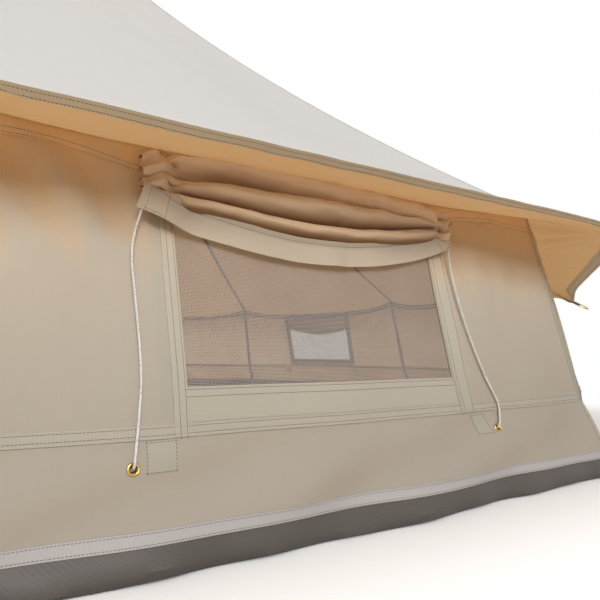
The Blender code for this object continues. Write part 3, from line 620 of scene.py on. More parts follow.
def patch(cloth, side, across, height, lift, base=-0.0004):
    """Adds a raised layer on a wall: its edge drops to the canvas all round."""
    across, height = (np.pad(grid, 1, mode="edge") for grid in np.broadcast_arrays(across, height))
    lifts = np.full(across.shape, base)
    lifts[1:-1, 1:-1] = lift
    cloth.wall(side, across, height, lifts)


STITCHES = {}
STITCH_SIZES = "Pitch", "Length", "Thickness"


def stitch(group, points):
    """Adds a line of stitches to a group."""
    STITCHES.setdefault(group, []).append(np.asarray(points, float))


def wall_stitch(group, side, across, height, out):
    stitch(group, on_wall(side, across, height, out))


def make_stitch_tree():
    """Geometry nodes that lay short stitches along every edge line."""
    tree = bpy.data.node_groups.new("stitch_lines", "GeometryNodeTree")
    inputs = {"Geometry": "Geometry", **dict.fromkeys(STITCH_SIZES, "Float"), "Material": "Material"}
    sockets = {}
    for title, kind in inputs.items():
        made = tree.interface.new_socket(title, in_out="INPUT", socket_type="NodeSocket" + kind)
        sockets[title] = made.identifier
    tree.interface.new_socket("Geometry", in_out="OUTPUT", socket_type="NodeSocketGeometry")
    build = Shader(tree)
    given = build.node("NodeGroupInput").outputs
    line = build.node("GeometryNodeMeshToCurve", {"Mesh": given["Geometry"]}).outputs["Curve"]
    values = {"Curve": line, "Length": given["Pitch"]}
    spaced = build.node("GeometryNodeResampleCurve", values, mode="LENGTH")
    values = {"Vector": build.node("GeometryNodeInputTangent").outputs[0]}
    aim = build.node("FunctionNodeAlignRotationToVector", values, axis="X")
    bead = build.node("GeometryNodeMeshUVSphere", {"Segments": 5, "Rings": 3, "Radius": 0.5}).outputs["Mesh"]
    values = {0: given["Length"], 1: given["Thickness"], 2: given["Thickness"]}
    size = build.node("ShaderNodeCombineXYZ", values).outputs[0]
    values = {"Points": spaced.outputs[0], "Instance": bead, "Rotation": aim.outputs[0], "Scale": size}
    laid = build.node("GeometryNodeInstanceOnPoints", values).outputs["Instances"]
    real = build.node("GeometryNodeRealizeInstances", {"Geometry": laid}).outputs["Geometry"]
    dyed = build.node("GeometryNodeSetMaterial", {"Geometry": real, "Material": given["Material"]})
    build.node("NodeGroupOutput", {"Geometry": dyed.outputs["Geometry"]})
    return tree, sockets


STITCH_TREE, STITCH_SOCKETS = make_stitch_tree()


def lay_stitches(name, lines, look, body="tent", size=(STITCH_PITCH, STITCH_LENGTH, STITCH_THICK)):
    """One mesh of all the stitches along some lines, of a pitch, length and thickness."""
    points, edges, count = [], [], 0
    for line in lines:
        points.append(line)
        edges += [(count + i, count + i + 1) for i in range(len(line) - 1)]
        count += len(line)
    mesh = bpy.data.meshes.new(name)
    mesh.from_pydata(np.concatenate(points).tolist(), edges, [])
    guide = bpy.data.objects.new(name + "_guide", mesh)
    bpy.context.scene.collection.objects.link(guide)
    nodes = guide.modifiers.new("stitches", "NODES")
    nodes.node_group = STITCH_TREE
    for title, value in zip((*STITCH_SIZES, "Material"), (*size, look)):
        nodes[STITCH_SOCKETS[title]] = value
    graph = bpy.context.evaluated_depsgraph_get()
    sewn = bpy.data.meshes.new_from_object(guide.evaluated_get(graph))
    bpy.data.objects.remove(guide)
    sewn.shade_smooth()
    return piece(name, sewn, look, body)


def frames_along(path):
    """Two normals at each point of a path, turned as little as they can be."""
    tangent = unit(np.gradient(path, axis=0))
    side = np.cross(tangent[0], (0.3, 0.5, 0.81))
    sides = []
    for aim in tangent:
        side = unit(side - aim * (side @ aim))
        sides.append(side)
    return np.array(sides), np.cross(tangent, sides)


def tube(path, radius, around=16, closed=False):
    """A round tube along a path, with a UV map of turns round and metres along."""
    if closed:
        tangent = unit(np.roll(path, -1, 0) - np.roll(path, 1, 0))
        flat = np.cross(path[len(path) // 3] - path[0], path[2 * len(path) // 3] - path[0])
        first = np.broadcast_to(unit(flat), path.shape)
        second = np.cross(tangent, first)
    else:
        first, second = frames_along(path)
    turn = np.linspace(0, 2 * math.pi, around + 1)
    ring = first[:, None] * np.cos(turn)[:, None] + second[:, None] * np.sin(turn)[:, None]
    points = path[:, None] + ring * radius
    along = far_along(path)
    if closed:
        points = np.concatenate([points, points[:1]])
        along = np.append(along, along[-1] * (1 + 1 / len(along)))
    else:
        start, end = (np.repeat(tip[None, None], around + 1, 1) for tip in (path[0], path[-1]))
        points = np.concatenate([start, points, end])
        along = np.concatenate([along[:1], along, along[-1:]])
    return Cloth().grid(points, together(turn / (2 * math.pi), along[:, None]))


def at_place(place, points):
    return np.asarray(points, float) @ np.array(place.to_3x3()).T + np.array(place.translation)


def turned(profile, place, around=40):
    """A profile of radius and height, run up its outer side, turned about the Z axis of a place."""
    profile = np.asarray(profile, float)
    turn = np.linspace(0, 2 * math.pi, around + 1)
    radius, height = profile[:, :1], profile[:, 1:]
    points = together(radius * np.cos(turn), radius * np.sin(turn), height)
    places = together(turn / (2 * math.pi), far_along(profile)[:, None])
    return Cloth().grid(at_place(place, points), places)


def smooth_path(knots, step):
    """Points along a smooth curve through some knots."""
    knots = np.asarray(knots, float)
    ends = np.vstack([2 * knots[0] - knots[1], knots, 2 * knots[-1] - knots[-2]])
    points = []
    for a, b, c, d in zip(ends, ends[1:], ends[2:], ends[3:]):
        steps = max(2, round(np.linalg.norm(c - b) / step))
        for t in np.arange(steps) / steps:
            bend = (2 * a - 5 * b + 4 * c - d) * t**2 + (3 * b - a - 3 * c + d) * t**3
            points.append(b + 0.5 * ((c - a) * t + bend))
    return np.array(points + [knots[-1]])


# Camera at the photograph's place, and the draw cords

CAMERA_OUT, CAMERA_ACROSS, CAMERA_HEIGHT = 3.309, -0.652, 0.3008
CAMERA_HEADING, CAMERA_PITCH = math.radians(127.6), math.radians(5.144)
CAMERA_LENS, SENSOR_WIDTH = 35.435, 36.0  # in millimetres


def aimed(name, data, place, aim):
    """A camera or a lamp at a place, looking along a direction."""
    made = bpy.data.objects.new(name, data)
    made.matrix_world = Matrix.Translation(place) @ aim.to_track_quat("-Z", "Y").to_matrix().to_4x4()
    bpy.context.scene.collection.objects.link(made)
    return made


def make_camera():
    data = bpy.data.cameras.new("camera")
    data.sensor_width, data.lens = SENSOR_WIDTH, CAMERA_LENS
    data.clip_start, data.clip_end = 0.02, 200.0
    place = to_tent(WINDOW_SIDES["right"], np.array((CAMERA_OUT, CAMERA_ACROSS, CAMERA_HEIGHT)))
    flat = math.cos(CAMERA_PITCH)
    aim = Vector((flat * math.cos(CAMERA_HEADING), flat * math.sin(CAMERA_HEADING), math.sin(CAMERA_PITCH)))
    bpy.context.scene.camera = aimed("camera", data, place, aim)


def hem_low(across):
    """Height of the flap hem's sagging lower edge."""
    return HEM_LOWEST + HEM_SAG * (across - HEM_LOWEST_AT) ** 2


def on_hem(across, rise):
    """Across and height of a place on the hem, which stands square to its own lower edge."""
    slope = 2 * HEM_SAG * (across - HEM_LOWEST_AT)
    length = np.sqrt(1 + slope**2)
    return across - slope / length * rise, hem_low(across) + rise / length


def make_cords():
    """Two draw cords for each window, from the corners of the flap's hem down through the eyelets."""
    for window, side in WINDOW_SIDES.items():
        for hand, route in CORD_ROUTES.items():
            knots = np.array([on_wall(side, *point) for point in route])
            start = CORD_STARTS[hand]
            corner = on_wall(side, *on_hem(start, 0.008), hem_out(start, 0.2) - 0.0040)
            path = smooth_path(np.vstack([corner, knots[1:]]), 0.004)
            name = f"window_{window}_draw_cord_{hand}"
            made = tube(path, CORD_DIAMETER / 2, 14).piece(name, CORD, None, "cord")
            top, low = knots[0], on_wall(side, route[8][0], route[8][1] + 0.01)
            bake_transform(made)
            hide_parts(f"window_{window}_cord_{hand}")


# Roof: one canopy over all the sides, its hip seams and the hem of the eave


def roof_columns():
    inner = np.linspace(-0.9, 0.9, 121)
    outer = np.linspace(0.9, 1, 10)[1:]
    return np.concatenate([-outer[::-1], inner, outer])


def make_roof():
    """The canopy of all the roof panels and the front, with its seams and the eave's hem."""
    canopy, seams, hem = Cloth(), Cloth(), Cloth()
    share = roof_columns()
    runs = np.linspace(1, 0, 13)[:-1]
    reaches = np.concatenate([np.linspace(1, 0.8, 9), np.linspace(0.8, TOP_REACH, 26)[1:]])
    up = np.concatenate([-runs * OVERHANG, (1 - reaches) * SLOPE_LENGTH])
    wide = np.concatenate([np.full(len(runs), EAVE_HALF), reaches * PANEL_HALF])
    for side in range(1, SIDES):
        low = eave(side, *np.broadcast_arrays(share, runs[:, None]))
        high = roof(side, *np.broadcast_arrays(share, reaches[:, None]))
        canopy.grid(np.concatenate([low, high]), together(share * wide[:, None], up[:, None]))
        for hand in (-1, 1):
            add_hip_seam(seams, side, hand)
        add_eave_hem(hem, side)
    share = np.concatenate([np.linspace(-1, 0, 19), np.linspace(0, 1, 19)[1:]])
    reaches = np.concatenate([[2.0, 1.5], reaches])
    share, reach = np.broadcast_arrays(share, reaches[:, None])
    points = front_roof(np.where(share == 0, 1e-9, share), reach)
    canopy.grid(points, together(share * FRONT_HALF, (1 - reach) * SLOPE_LENGTH))
    for hand in (-1, 1):
        add_front_seams(seams, hem, hand)
    nodes = [f"roof_panel_{side}" for side in range(1, SIDES)] + ["roof_front"]
    made = canopy.piece("roof_canopy", ROOF_CANVAS_WITH_PAINTED_LIGHT, "tent", "roof_canvas", nodes, weld=0.0006, sharp=60)
    sewn = [
        seams.piece("roof_hip_seams", ROOF_CANVAS_WITH_PAINTED_LIGHT, "tent", "roof_canvas"),
        hem.piece("eave_hem", HEM_CANVAS, "tent", "roof_canvas"),
    ]


def add_fell(seams, line_at, step, mirror):
    """Half of a felled seam, where line_at gives the line that lies some way in from its middle."""
    lines = [raised(line_at(inset), lift) for inset, lift in FELL_SECTION]
    points = np.stack(lines[::-1] if mirror else lines, 1)
    along = np.arange(len(points)) * step
    seams.grid(points, together([inset for inset, lift in FELL_SECTION], along[:, None]))


def add_hip_seam(seams, side, hand):
    """Half of the felled seam along a hip, from the eave's edge to the peak."""
    reaches = np.linspace(1, TOP_REACH + 0.02, 60)
    runs = np.linspace(0.99, 0, 12)[:-1]

    def hip_line(inset):
        return roof(side, hand * (1 - inset / (HIP_RADIUS * reaches * math.sin(HALF))), reaches)

    def whole_line(inset):
        share = np.full(len(runs), hand * (1 - inset / (TIP_FLAT * math.tan(HALF))))
        return np.concatenate([eave(side, share, runs), hip_line(inset)])

    add_fell(seams, whole_line, 0.05, hand > 0)
    stitch(f"roof_{side}", raised(hip_line(FELL_STITCH), FELL_STITCH_LIFT))


def add_eave_hem(hem, side):
    """The turned hem under the eave's edge, narrower at the tips, with two lines of stitches."""
    share = roof_columns()[1:-1]
    reach = REACH_MID + (REACH_TIP - REACH_MID) * share**4
    reach = reach * (1 + 1.6 * smooth(abs(share), 0.84, 0.97))
    points = np.stack([raised(eave(side, share, 1 - inset / reach), -drop) for inset, drop in HEM_SECTION])
    depth = np.array([inset for inset, drop in HEM_SECTION])[:, None]
    hem.grid(points, together(far_along(points[0]), depth))
    for inset in HEM_STITCHES:
        line = eave(side, share, 1 - inset / reach)
        for lift in (-HEM_DROP - STITCH_LIFT, 0.0006):
            stitch(f"roof_{side}", raised(line, lift))


def add_front_seams(seams, hem, hand):
    """Hip seam halves, ridge seam halves and the rain edge of the front roof."""
    reaches = np.linspace(1, TOP_REACH + 0.02, 60)
    slope = np.linalg.norm(front_roof(np.ones(60), reaches) - front_roof(np.full(60, 1e-9), reaches), axis=1)

    def hip_line(inset):
        return front_roof(hand * (1 - inset / slope), reaches)

    def ridge_line(inset):
        return front_roof(hand * (inset / slope + 1e-6), reaches)

    for line_at, mirror in ((hip_line, hand > 0), (ridge_line, hand < 0)):
        add_fell(seams, line_at, 0.045, mirror)
        stitch("roof_front", raised(line_at(FELL_STITCH), FELL_STITCH_LIFT))
    share = hand * np.linspace(1e-4, 1, 50)

    def front_line(reach, lift):
        return raised(front_roof(share, np.full(50, reach)), lift)

    points = np.stack([front_line(reach, -drop) for reach, drop in RAIN_HEM])
    depth = np.array((0, 0.001, 0.026, 0.027))[:, None]
    hem.grid(points if hand < 0 else points[::-1], together(np.linspace(0, 1.4, 50), depth))
    for reach in (1.42, 1.9):
        stitch("roof_front", front_line(reach, 0.0012))


# Tie-out straps and rings at the eave's tips


def tip_place(number):
    angle = side_angle(number) + HALF
    place = Matrix.Translation((TIP_RADIUS, 0, TIP_HEIGHT))
    return Matrix.Rotation(angle, 4, "Z") @ place @ Matrix.Rotation(TIP_DIP, 4, "Y")


def make_tie_outs():
    """A folded strap at each tip of the eave, which holds a ring."""
    straps = Cloth()
    bend = RING_WIRE / 2 + 0.0012
    turn = np.linspace(math.pi / 2, -math.pi / 2, 13)
    upper = [(x, 0.0030) for x in np.linspace(-STRAP_LAP, STRAP_REACH - 0.006, 14)]
    loop = [(STRAP_REACH + bend * math.cos(a), bend * math.sin(a)) for a in turn]
    lower = [(x, -0.0030) for x in np.linspace(STRAP_REACH - 0.006, -STRAP_LAP, 14)]
    path = np.array(upper + loop + lower)
    aim = unit(np.gradient(path, axis=0))
    out = together(-aim[:, 1], aim[:, 0])
    half, thick = STRAP_WIDTH / 2, 0.0006
    columns = []
    for across, lift in ((-half, -thick), (half, -thick), (half, thick), (-half, thick), (-half, -thick)):
        flat = path + out * lift
        columns.append(together(flat[:, 0], across, flat[:, 1]))
    places = together(far_along(path)[:, None], np.array((0, 0.024, 0.025, 0.049, 0.05)))
    for number in range(SIDES):
        place = tip_place(number)
        straps.grid(at_place(place, np.stack(columns, 1)), places)
        for inset in (-0.044, -0.006):
            line = [(inset, y, 0.0042) for y in np.linspace(-half + 0.003, half - 0.003, 8)]
            stitch("straps", at_place(place, line))
        for y in (-half + 0.003, half - 0.003):
            line = [(x, y, 0.0042) for x in np.linspace(-0.044, -0.006, 10)]
            stitch("straps", at_place(place, line))
        make_ring(number, place)
    straps.piece("tie_out_straps", WEBBING, "tent", "roof_canvas", weld=0.00002)


def make_ring(number, place):
    """A ring of brass wire: a straight bar in the strap and a long bow."""
    corner = RING_WIRE + 0.0003
    turn = np.linspace(math.pi / 2, -math.pi / 2, 33)
    bow = together(corner + (RING_LENGTH - corner) * np.cos(turn), RING_HALF_WIDTH * np.sin(turn), 0.0)
    ends = np.array([(0.0, -RING_BAR_HALF, 0.0), (0.0, RING_BAR_HALF, 0.0)])
    bar = np.linspace(ends[0], ends[1], 9)
    left = smooth_path([bar[-2], bar[-1], (0.0021, 0.0174, 0), bow[0], bow[1]], 0.0012)
    right = left[::-1] * np.array((1, -1, 1))
    path = np.concatenate([bar[1:-2], left, bow[2:-2], right])
    path = path + np.array((STRAP_REACH, 0, 0))
    ring, body = tube(at_place(place, path), RING_WIRE / 2, 14, closed=True), f"tie_out_ring_{number + 1}"
    ring.piece(body + "_brass", BRASS, body, "brass", [body], weld=0.00001)


# Walls: canvas over a skirt, with a top band, hems, corner seams and, on three sides, a window


WINDOW_SHARE = 0.36  # where the window's edges are among a wall's columns


def wall_columns(has_window):
    """Columns as a share from corner to corner, with the window's edges among them."""
    if not has_window:
        return np.linspace(-1, 1, 81)
    outer = np.linspace(-1, -WINDOW_SHARE, 27)
    inner = np.linspace(-WINDOW_SHARE, WINDOW_SHARE, 49)
    return np.concatenate([outer[:-1], inner, -outer[::-1][1:]])


def column_across(share, height, has_window):
    wide = half_width(height)
    if not has_window:
        return share * wide
    inner = share / WINDOW_SHARE * WINDOW_HALF
    beyond = (abs(share) - WINDOW_SHARE) / (1 - WINDOW_SHARE) * (wide - WINDOW_HALF)
    return np.where(abs(share) <= WINDOW_SHARE, inner, np.sign(share) * (WINDOW_HALF + beyond))


def make_wall(side):
    """A side's canvas with its bands, and the skirt under it."""
    bands = Cloth()
    has_window = side in WINDOW_SIDES.values()
    share = wall_columns(has_window)
    sill_rows = np.linspace(HEM_EDGE, WINDOW_SILL, 6)[:-1]
    lows = np.concatenate([sill_rows, np.linspace(WINDOW_SILL, WINDOW_TOP, 26)])
    low = np.broadcast_to(lows[:, None], (len(lows), len(share)))
    rise = np.linspace(0, 1, 8)[1:, None]
    height = np.concatenate([low, WINDOW_TOP + (seam_height(share) - WINDOW_TOP) * rise])
    across = column_across(share, height, has_window)
    keep = None
    if has_window:
        middle, level = middles(across), middles(height)
        keep = ~((abs(middle) < WINDOW_HALF) & (level > WINDOW_SILL) & (level < WINDOW_TOP))
    lift = np.full(height.shape, LAYER)
    lift[-1] = -LAYER / 2
    cloth = Cloth().wall(side, across, height, lift, keep)
    add_wall_bands(bands, side, f"wall_{side}", has_window)
    nodes = [f"wall_panel_{side}"]
    made = cloth.piece(f"wall_canvas_{side}", WALL_CANVAS_WITH_PAINTED_SHADE, "tent", "wall_canvas", nodes)
    sewn = [
        bands.piece(f"wall_bands_{side}", BAND_CANVAS_WITH_PAINTED_SHADE, "tent", "wall_canvas"),
        skirt(side, has_window).piece(f"wall_skirt_{side}", SKIRT_CANVAS, "tent", "wall_canvas"),
    ]


def middles(grid):
    """The value in the middle of each face of a grid."""
    return (grid[:-1, :-1] + grid[1:, 1:]) / 2


def skirt(side, has_window):
    """The skirt under a wall, with a hole punched at each eyelet."""
    rows = np.linspace(WALL_FOOT, HEM_EDGE + 0.012, 16)
    columns, punched = np.linspace(-1, 1, 97), None
    if has_window:
        near = np.arange(-4, 5) * EYELET_BORE * 0.45
        rows = np.sort(np.append(rows, EYELET_HEIGHT + near))
        columns = np.append(columns, [(at + near) / half_width(EYELET_HEIGHT) for at in EYELET_AT.values()])
    height = rows[:, None]
    across = np.sort(columns) * half_width(height)
    height = np.broadcast_to(height, across.shape)
    if has_window:
        away = [np.hypot(middles(across) - at, middles(height) - EYELET_HEIGHT) for at in EYELET_AT.values()]
        punched = np.minimum(*away) > EYELET_BORE * 1.1
    return Cloth().wall(side, across, height, keep=punched)


def band_low(share, has_window):
    """Lower edge of the band under the eave, which dips towards a drawn-up flap."""
    dip = 0.013 * np.exp(-(((abs(share) - 0.42) / 0.10) ** 2)) if has_window else 0.0
    return SEAM_MID - TOP_BAND + 0.022 * smooth(abs(share), 0.40, 0.80) - dip


def add_wall_bands(bands, side, group, has_window):
    """Bands sewn on a wall: under the eave, along its lower hem and up its corners."""
    share = np.linspace(-0.998, 0.998, 121)
    stretches = [share]
    if has_window:
        stretches = [share[share < -0.42], share[share > 0.42]]
    for part in stretches:
        low, high = band_low(part, has_window), seam_height(part) - 0.005
        height = low + (high - low) * np.linspace(0, 1, 5)[:, None]
        patch(bands, side, part * half_width(height), height, LAYER * 2, LAYER)
        for lift in (0.0025, 0.0115):
            wall_stitch(group, side, part * half_width(low + lift), low + lift, LAYER * 2 + STITCH_LIFT)
    wide = half_width(HEM_EDGE) * share
    height = np.linspace(HEM_EDGE - 0.0006, HEM_EDGE + HEM_BAND, 4)[:, None]
    patch(bands, side, wide, height, LAYER * 1.9, 0.0)
    for lift in (0.0045, 0.0145):
        wall_stitch(group, side, wide, HEM_EDGE + lift, LAYER * 2 + 0.0003)
    rows = np.linspace(HEM_EDGE + 0.002, SEAM_CORNER - 0.034, 40)[:, None]
    foot = np.linspace(WALL_FOOT, HEM_EDGE, 14)[:, None]
    for hand in (-1, 1):
        insets = np.array((0.0, CORNER_BAND / 2, CORNER_BAND))
        patch(bands, side, np.sort(hand * (half_width(rows) - insets), axis=1), rows, LAYER * 2.2, LAYER)
        for inset in (0.0035, 0.0105):
            edge = hand * (half_width(rows) - inset)
            wall_stitch(group, side, edge[:, 0], rows[:, 0], LAYER * 2.2 + STITCH_LIFT)
        insets = np.array((0.0, 0.006, 0.012))
        patch(bands, side, np.sort(hand * (half_width(foot) - insets), axis=1), foot, LAYER * 1.2)
    if has_window:
        add_window_bands(bands, side, group)


def make_inner_seams():
    """Seam tapes inside, painted dark as the shade of seams against the light through the canvas: up the
    corners and the hips, along the eave seam and round the windows.
    """
    tapes = Cloth()
    rows = np.linspace(0.062, SEAM_CORNER - 0.004, 40)[:, None]
    reaches = np.linspace(1, TOP_REACH + 0.02, 50)
    share = np.linspace(-0.995, 0.995, 121)
    for side in range(1, SIDES):
        for hand in (-1, 1):
            across = np.sort(hand * (half_width(rows) - np.array((0.002, 0.015))), axis=1)
            tapes.wall(side, across, rows, INNER_WALL)
            insets = [inset / (HIP_RADIUS * reaches * math.sin(HALF)) for inset in (0.0012, 0.0130)]
            edges = [raised(roof(side, hand * (1 - inset), reaches), INNER_ROOF) for inset in insets]
            points = np.stack(edges if hand < 0 else edges[::-1], 1)
            tapes.grid(points, together((0, 0.012), reaches[:, None]))
        for low, high in ((0.034, 0.026), (0.010, 0.003)):
            height = seam_height(share) - np.array((low, high))[:, None]
            across = share * half_width(height)
            tapes.wall(side, across, height, INNER_WALL)
        if side in WINDOW_SIDES.values():
            add_window_binding(tapes, side)
    tapes.piece("inner_seam_tapes", INNER_SEAM_PAINTED_SHADE, "tent", "wall_canvas")


def add_window_binding(tapes, side):
    """Binding round a window, inside, painted dark as the shade of a seam against the light through the
    canvas: its two sides, its sill and its top.
    """
    left, right = -WINDOW_HALF - 0.040, WINDOW_HALF + 0.040
    low, high = WINDOW_SILL - 0.042, WINDOW_TOP + 0.036
    for start, end, bottom, top in (
        (left, -WINDOW_HALF - 0.001, low, high),
        (WINDOW_HALF + 0.001, right, low, high),
        (left, right, low, WINDOW_SILL - 0.001),
        (left, right, WINDOW_TOP + 0.001, high),
    ):
        across, height = np.linspace(start, end, 40), np.linspace(bottom, top, 24)[:, None]
        tapes.wall(side, across, height, INNER_BINDING)


# Inner and outer edges of the strips beside a window, with their stitches, and corners of the skirt's patches
WINDOW_STRIPS = (-0.2900, -0.3130, (-0.2935, -0.3040)), (0.2900, 0.3370, (0.2935, 0.3030, 0.3320))
SKIRT_PATCHES = (
    ((-0.358, 0.178), (-0.312, 0.178), (-0.313, 0.135), (-0.359, 0.135)),
    ((0.326, 0.174), (0.372, 0.174), (0.396, 0.134), (0.346, 0.134)),
)


def add_window_bands(bands, side, group):
    """Strips beside a window, its sill band and the square patches on the skirt."""
    lift = LAYER * 2
    rows = np.linspace(HEM_EDGE + 0.0195, WINDOW_SILL, 8)[:, None]
    patch(bands, side, np.linspace(-WINDOW_HALF - 0.004, WINDOW_HALF + 0.004, 49), rows, lift * 0.9, 0.0)
    for height in (WINDOW_SILL - 0.0045, WINDOW_SILL - 0.0150):
        wall_stitch(group, side, np.linspace(-WINDOW_HALF, WINDOW_HALF, 60), height, lift + STITCH_LIFT)
    rows = np.linspace(HEM_EDGE - 0.0004, 0.606, 46)[:, None]
    for inner, outer, lines in WINDOW_STRIPS:
        slope = np.clip((WINDOW_SILL - rows) / 0.07, 0, 1) * (0.006 if inner > 0 else 0.002)
        near = np.sign(inner) * slope
        across = np.sort(np.linspace(inner, outer, 5)[None] + near, axis=1)
        patch(bands, side, across, rows, lift + 0.0006, 0.0)
        for line in lines:
            wall_stitch(group, side, line + near[:, 0], rows[:, 0], lift + 0.0012)
    for corners in map(np.array, SKIRT_PATCHES):
        t = np.linspace(0, 1, 7)
        low = corners[3] + (corners[2] - corners[3]) * t[:, None]
        high = corners[0] + (corners[1] - corners[0]) * t[:, None]
        grid = low + (high - low) * t[:, None, None]
        patch(bands, side, grid[..., 0], grid[..., 1], 0.0005, -0.0003)
        middle = corners.mean(0)
        ring = middle + (np.vstack([corners, corners[:1]]) - middle) * 0.93
        for a, b in zip(ring, ring[1:]):
            line = a + (b - a) * np.linspace(0, 1, 12)[:, None]
            wall_stitch(group, side, line[:, 0], line[:, 1], 0.0009)


# Windows: netting, drawn-up flap, its hem and the eyelets

# Each three values are at the left, in the middle and at the right of the flap
FLAP_TOPS = (0.6300, 0.6260, 0.6230)
FLAP_CREASES = ((0.5800, 0.5780, 0.5690), (0.5470, 0.5320, 0.5590), (0.5230, 0.5050, 0.5260))
FLAP_DEPTHS = ((0.036, 0.046, 0.044), (0.044, 0.055, 0.046), (0.032, 0.036, 0.030))
FLAP_SKEWS = ((0.55, 0.75, 1.00), (1.00, 0.75, 0.55), (0.85, 0.85, 0.85))
FLAP_ROLL_SHADES = 0.0, 0.18, 0.31  # painted shade on each roll, from the top, as the lower rolls lie deeper in shade
UNDER_EAVE = 0.005, 0.50  # room left under the eave, and its fall as the flap stands out
GATHER_LEFT, GATHER_RIGHT = (0.577, 0.042), (0.567, 0.034)  # middle height and half height


def along_flap(across, values):
    """A smooth value across the flap through its left, middle and right values."""
    x = np.clip(across / 0.24, -1.3, 1.3)
    left, middle, right = values
    return middle + (right - left) / 2 * x + ((left + right) / 2 - middle) * x**2


def flap_points(side, rows_per_roll=44):
    """The drawn-up flap: soft rolls that run into tight gathers at both ends."""
    left, right = np.linspace(-FLAP_HALF, -0.27, 50)[:-1], np.linspace(0.28, FLAP_HALF, 40)[1:]
    across = np.concatenate([left, np.linspace(-0.27, 0.28, 111), right])
    top = along_flap(across, FLAP_TOPS)
    bottom = along_flap(across, FLAP_CREASES[-1])
    upper, heights, outs, shares, folds = top, [], [], [], []
    for number, (crease, depth, skew) in enumerate(zip(FLAP_CREASES, FLAP_DEPTHS, FLAP_SKEWS)):
        lower, depth, skew = (along_flap(across, values) for values in (crease, depth, skew))
        depth = depth * (1 - 0.3 * smooth(abs(across), 0.22, 0.34))
        for t in np.linspace(0, 1, rows_per_roll, endpoint=False):
            level = upper + (lower - upper) * t
            turn = np.full_like(across, t) ** skew
            swell = np.sin(math.pi * turn) ** 0.68 if t else 0 * across
            heights.append(level - 0.30 * depth * t * swell)
            outs.append(0.0045 + 0.006 * number / 3 + depth * swell)
            shares.append((top - level) / (top - bottom))
            # Painted shade: the fold value darkens the flap towards its crease colour low in each roll and at
            # the crease above it
            fold = smooth(turn, 0.55, 0.93) + (0.7 * smooth(0.16 - turn, 0, 0.16) if number else 0.0)
            fold = 0.5 * fold * (1 - 0.7 * smooth(across, -0.14, 0.02)) if number == 0 else fold
            folds.append(0.85 * fold + FLAP_ROLL_SHADES[number])
        upper = lower
    # The tucked rows under the hem take full painted shade
    for drop, out in ((0.0, 0.0105), (0.006, 0.0110), (0.014, 0.0115)):
        heights.append(bottom - drop)
        outs.append(np.full_like(across, out))
        shares.append(np.ones_like(across))
        folds.append(np.ones_like(across))
    heights, outs, shares, folds = (np.array(x) for x in (heights, outs, shares, folds))
    a = np.broadcast_to(across, heights.shape)
    hollow = np.exp(-(((a + 0.185) / 0.075) ** 2) - ((shares - 0.33) / 0.11) ** 2)
    kink = np.exp(-(((a + 0.02 - 0.35 * (shares - 0.6)) / 0.030) ** 2) - ((shares - 0.60) / 0.10) ** 2)
    fine = np.sin(a * 61 + shares * 37) + np.sin(a * 37 - shares * 71 + 1.7)
    fine = fine + np.sin(a * 113 + shares * 23 + side)
    outs = np.maximum(outs - 0.018 * hollow + 0.007 * kink + 0.0006 * fine * smooth(shares, 0.0, 0.1), 0.003)
    # The dent in the top roll also gets painted shade
    folds = np.clip(folds + 0.32 * hollow, 0, 1)
    heights, outs, folds = gathered(a, shares, heights, outs, folds)
    heights = np.minimum(heights, SEAM_MID - UNDER_EAVE[0] - UNDER_EAVE[1] * outs)
    points = on_wall(side, a, heights, outs)
    return points[::-1], together(a, -far_along(points))[::-1], folds[::-1]


def gathered(a, shares, heights, outs, folds):
    """Draws the flap's ends into tight tucks, which a cord in the end hem pulls together."""
    for weight, (middle, half), bunch, tucks, puff, deep in (
        (smooth(-a, 0.276, 0.304), GATHER_LEFT, -0.318, 5.6, 1.5, 0.0210),
        (smooth(a, 0.300, 0.328), GATHER_RIGHT, 0.334, 3.0, 1.1, 0.0260),
    ):
        wobble = 0.20 * np.sin(a * 62 + 1.0) + 0.16 * np.sin(a * 131 + shares * 9)
        turn = tucks * np.clip(shares, 0, 1) ** puff + wobble
        ridge = np.abs(np.sin(math.pi * turn))
        knob = 0.020 * np.exp(-(((a - bunch) / 0.018) ** 2)) * np.sin(math.pi * np.clip(shares, 0, 1)) ** 0.5
        depth = deep * (1.25 - 0.5 * shares) * (0.80 + 0.30 * np.sin(a * 95 + shares * 19))
        tight = 0.006 + knob + depth * ridge**0.6
        tight += 0.0024 * np.sin(shares * 83 + a * 140) * np.exp(-(((a - 1.05 * bunch) / 0.012) ** 2))
        level = middle + half * (1 - 2 * shares) + 0.0035 * np.sin(2 * math.pi * turn)
        outs = outs * (1 - weight) + tight * weight
        heights = heights * (1 - weight) + level * weight
        # Painted shade in the valleys between the tucks
        folds = folds * (1 - weight) + (0.22 + 0.78 * smooth(1 - ridge, 0.15, 0.65)) * weight
    return heights, outs, folds


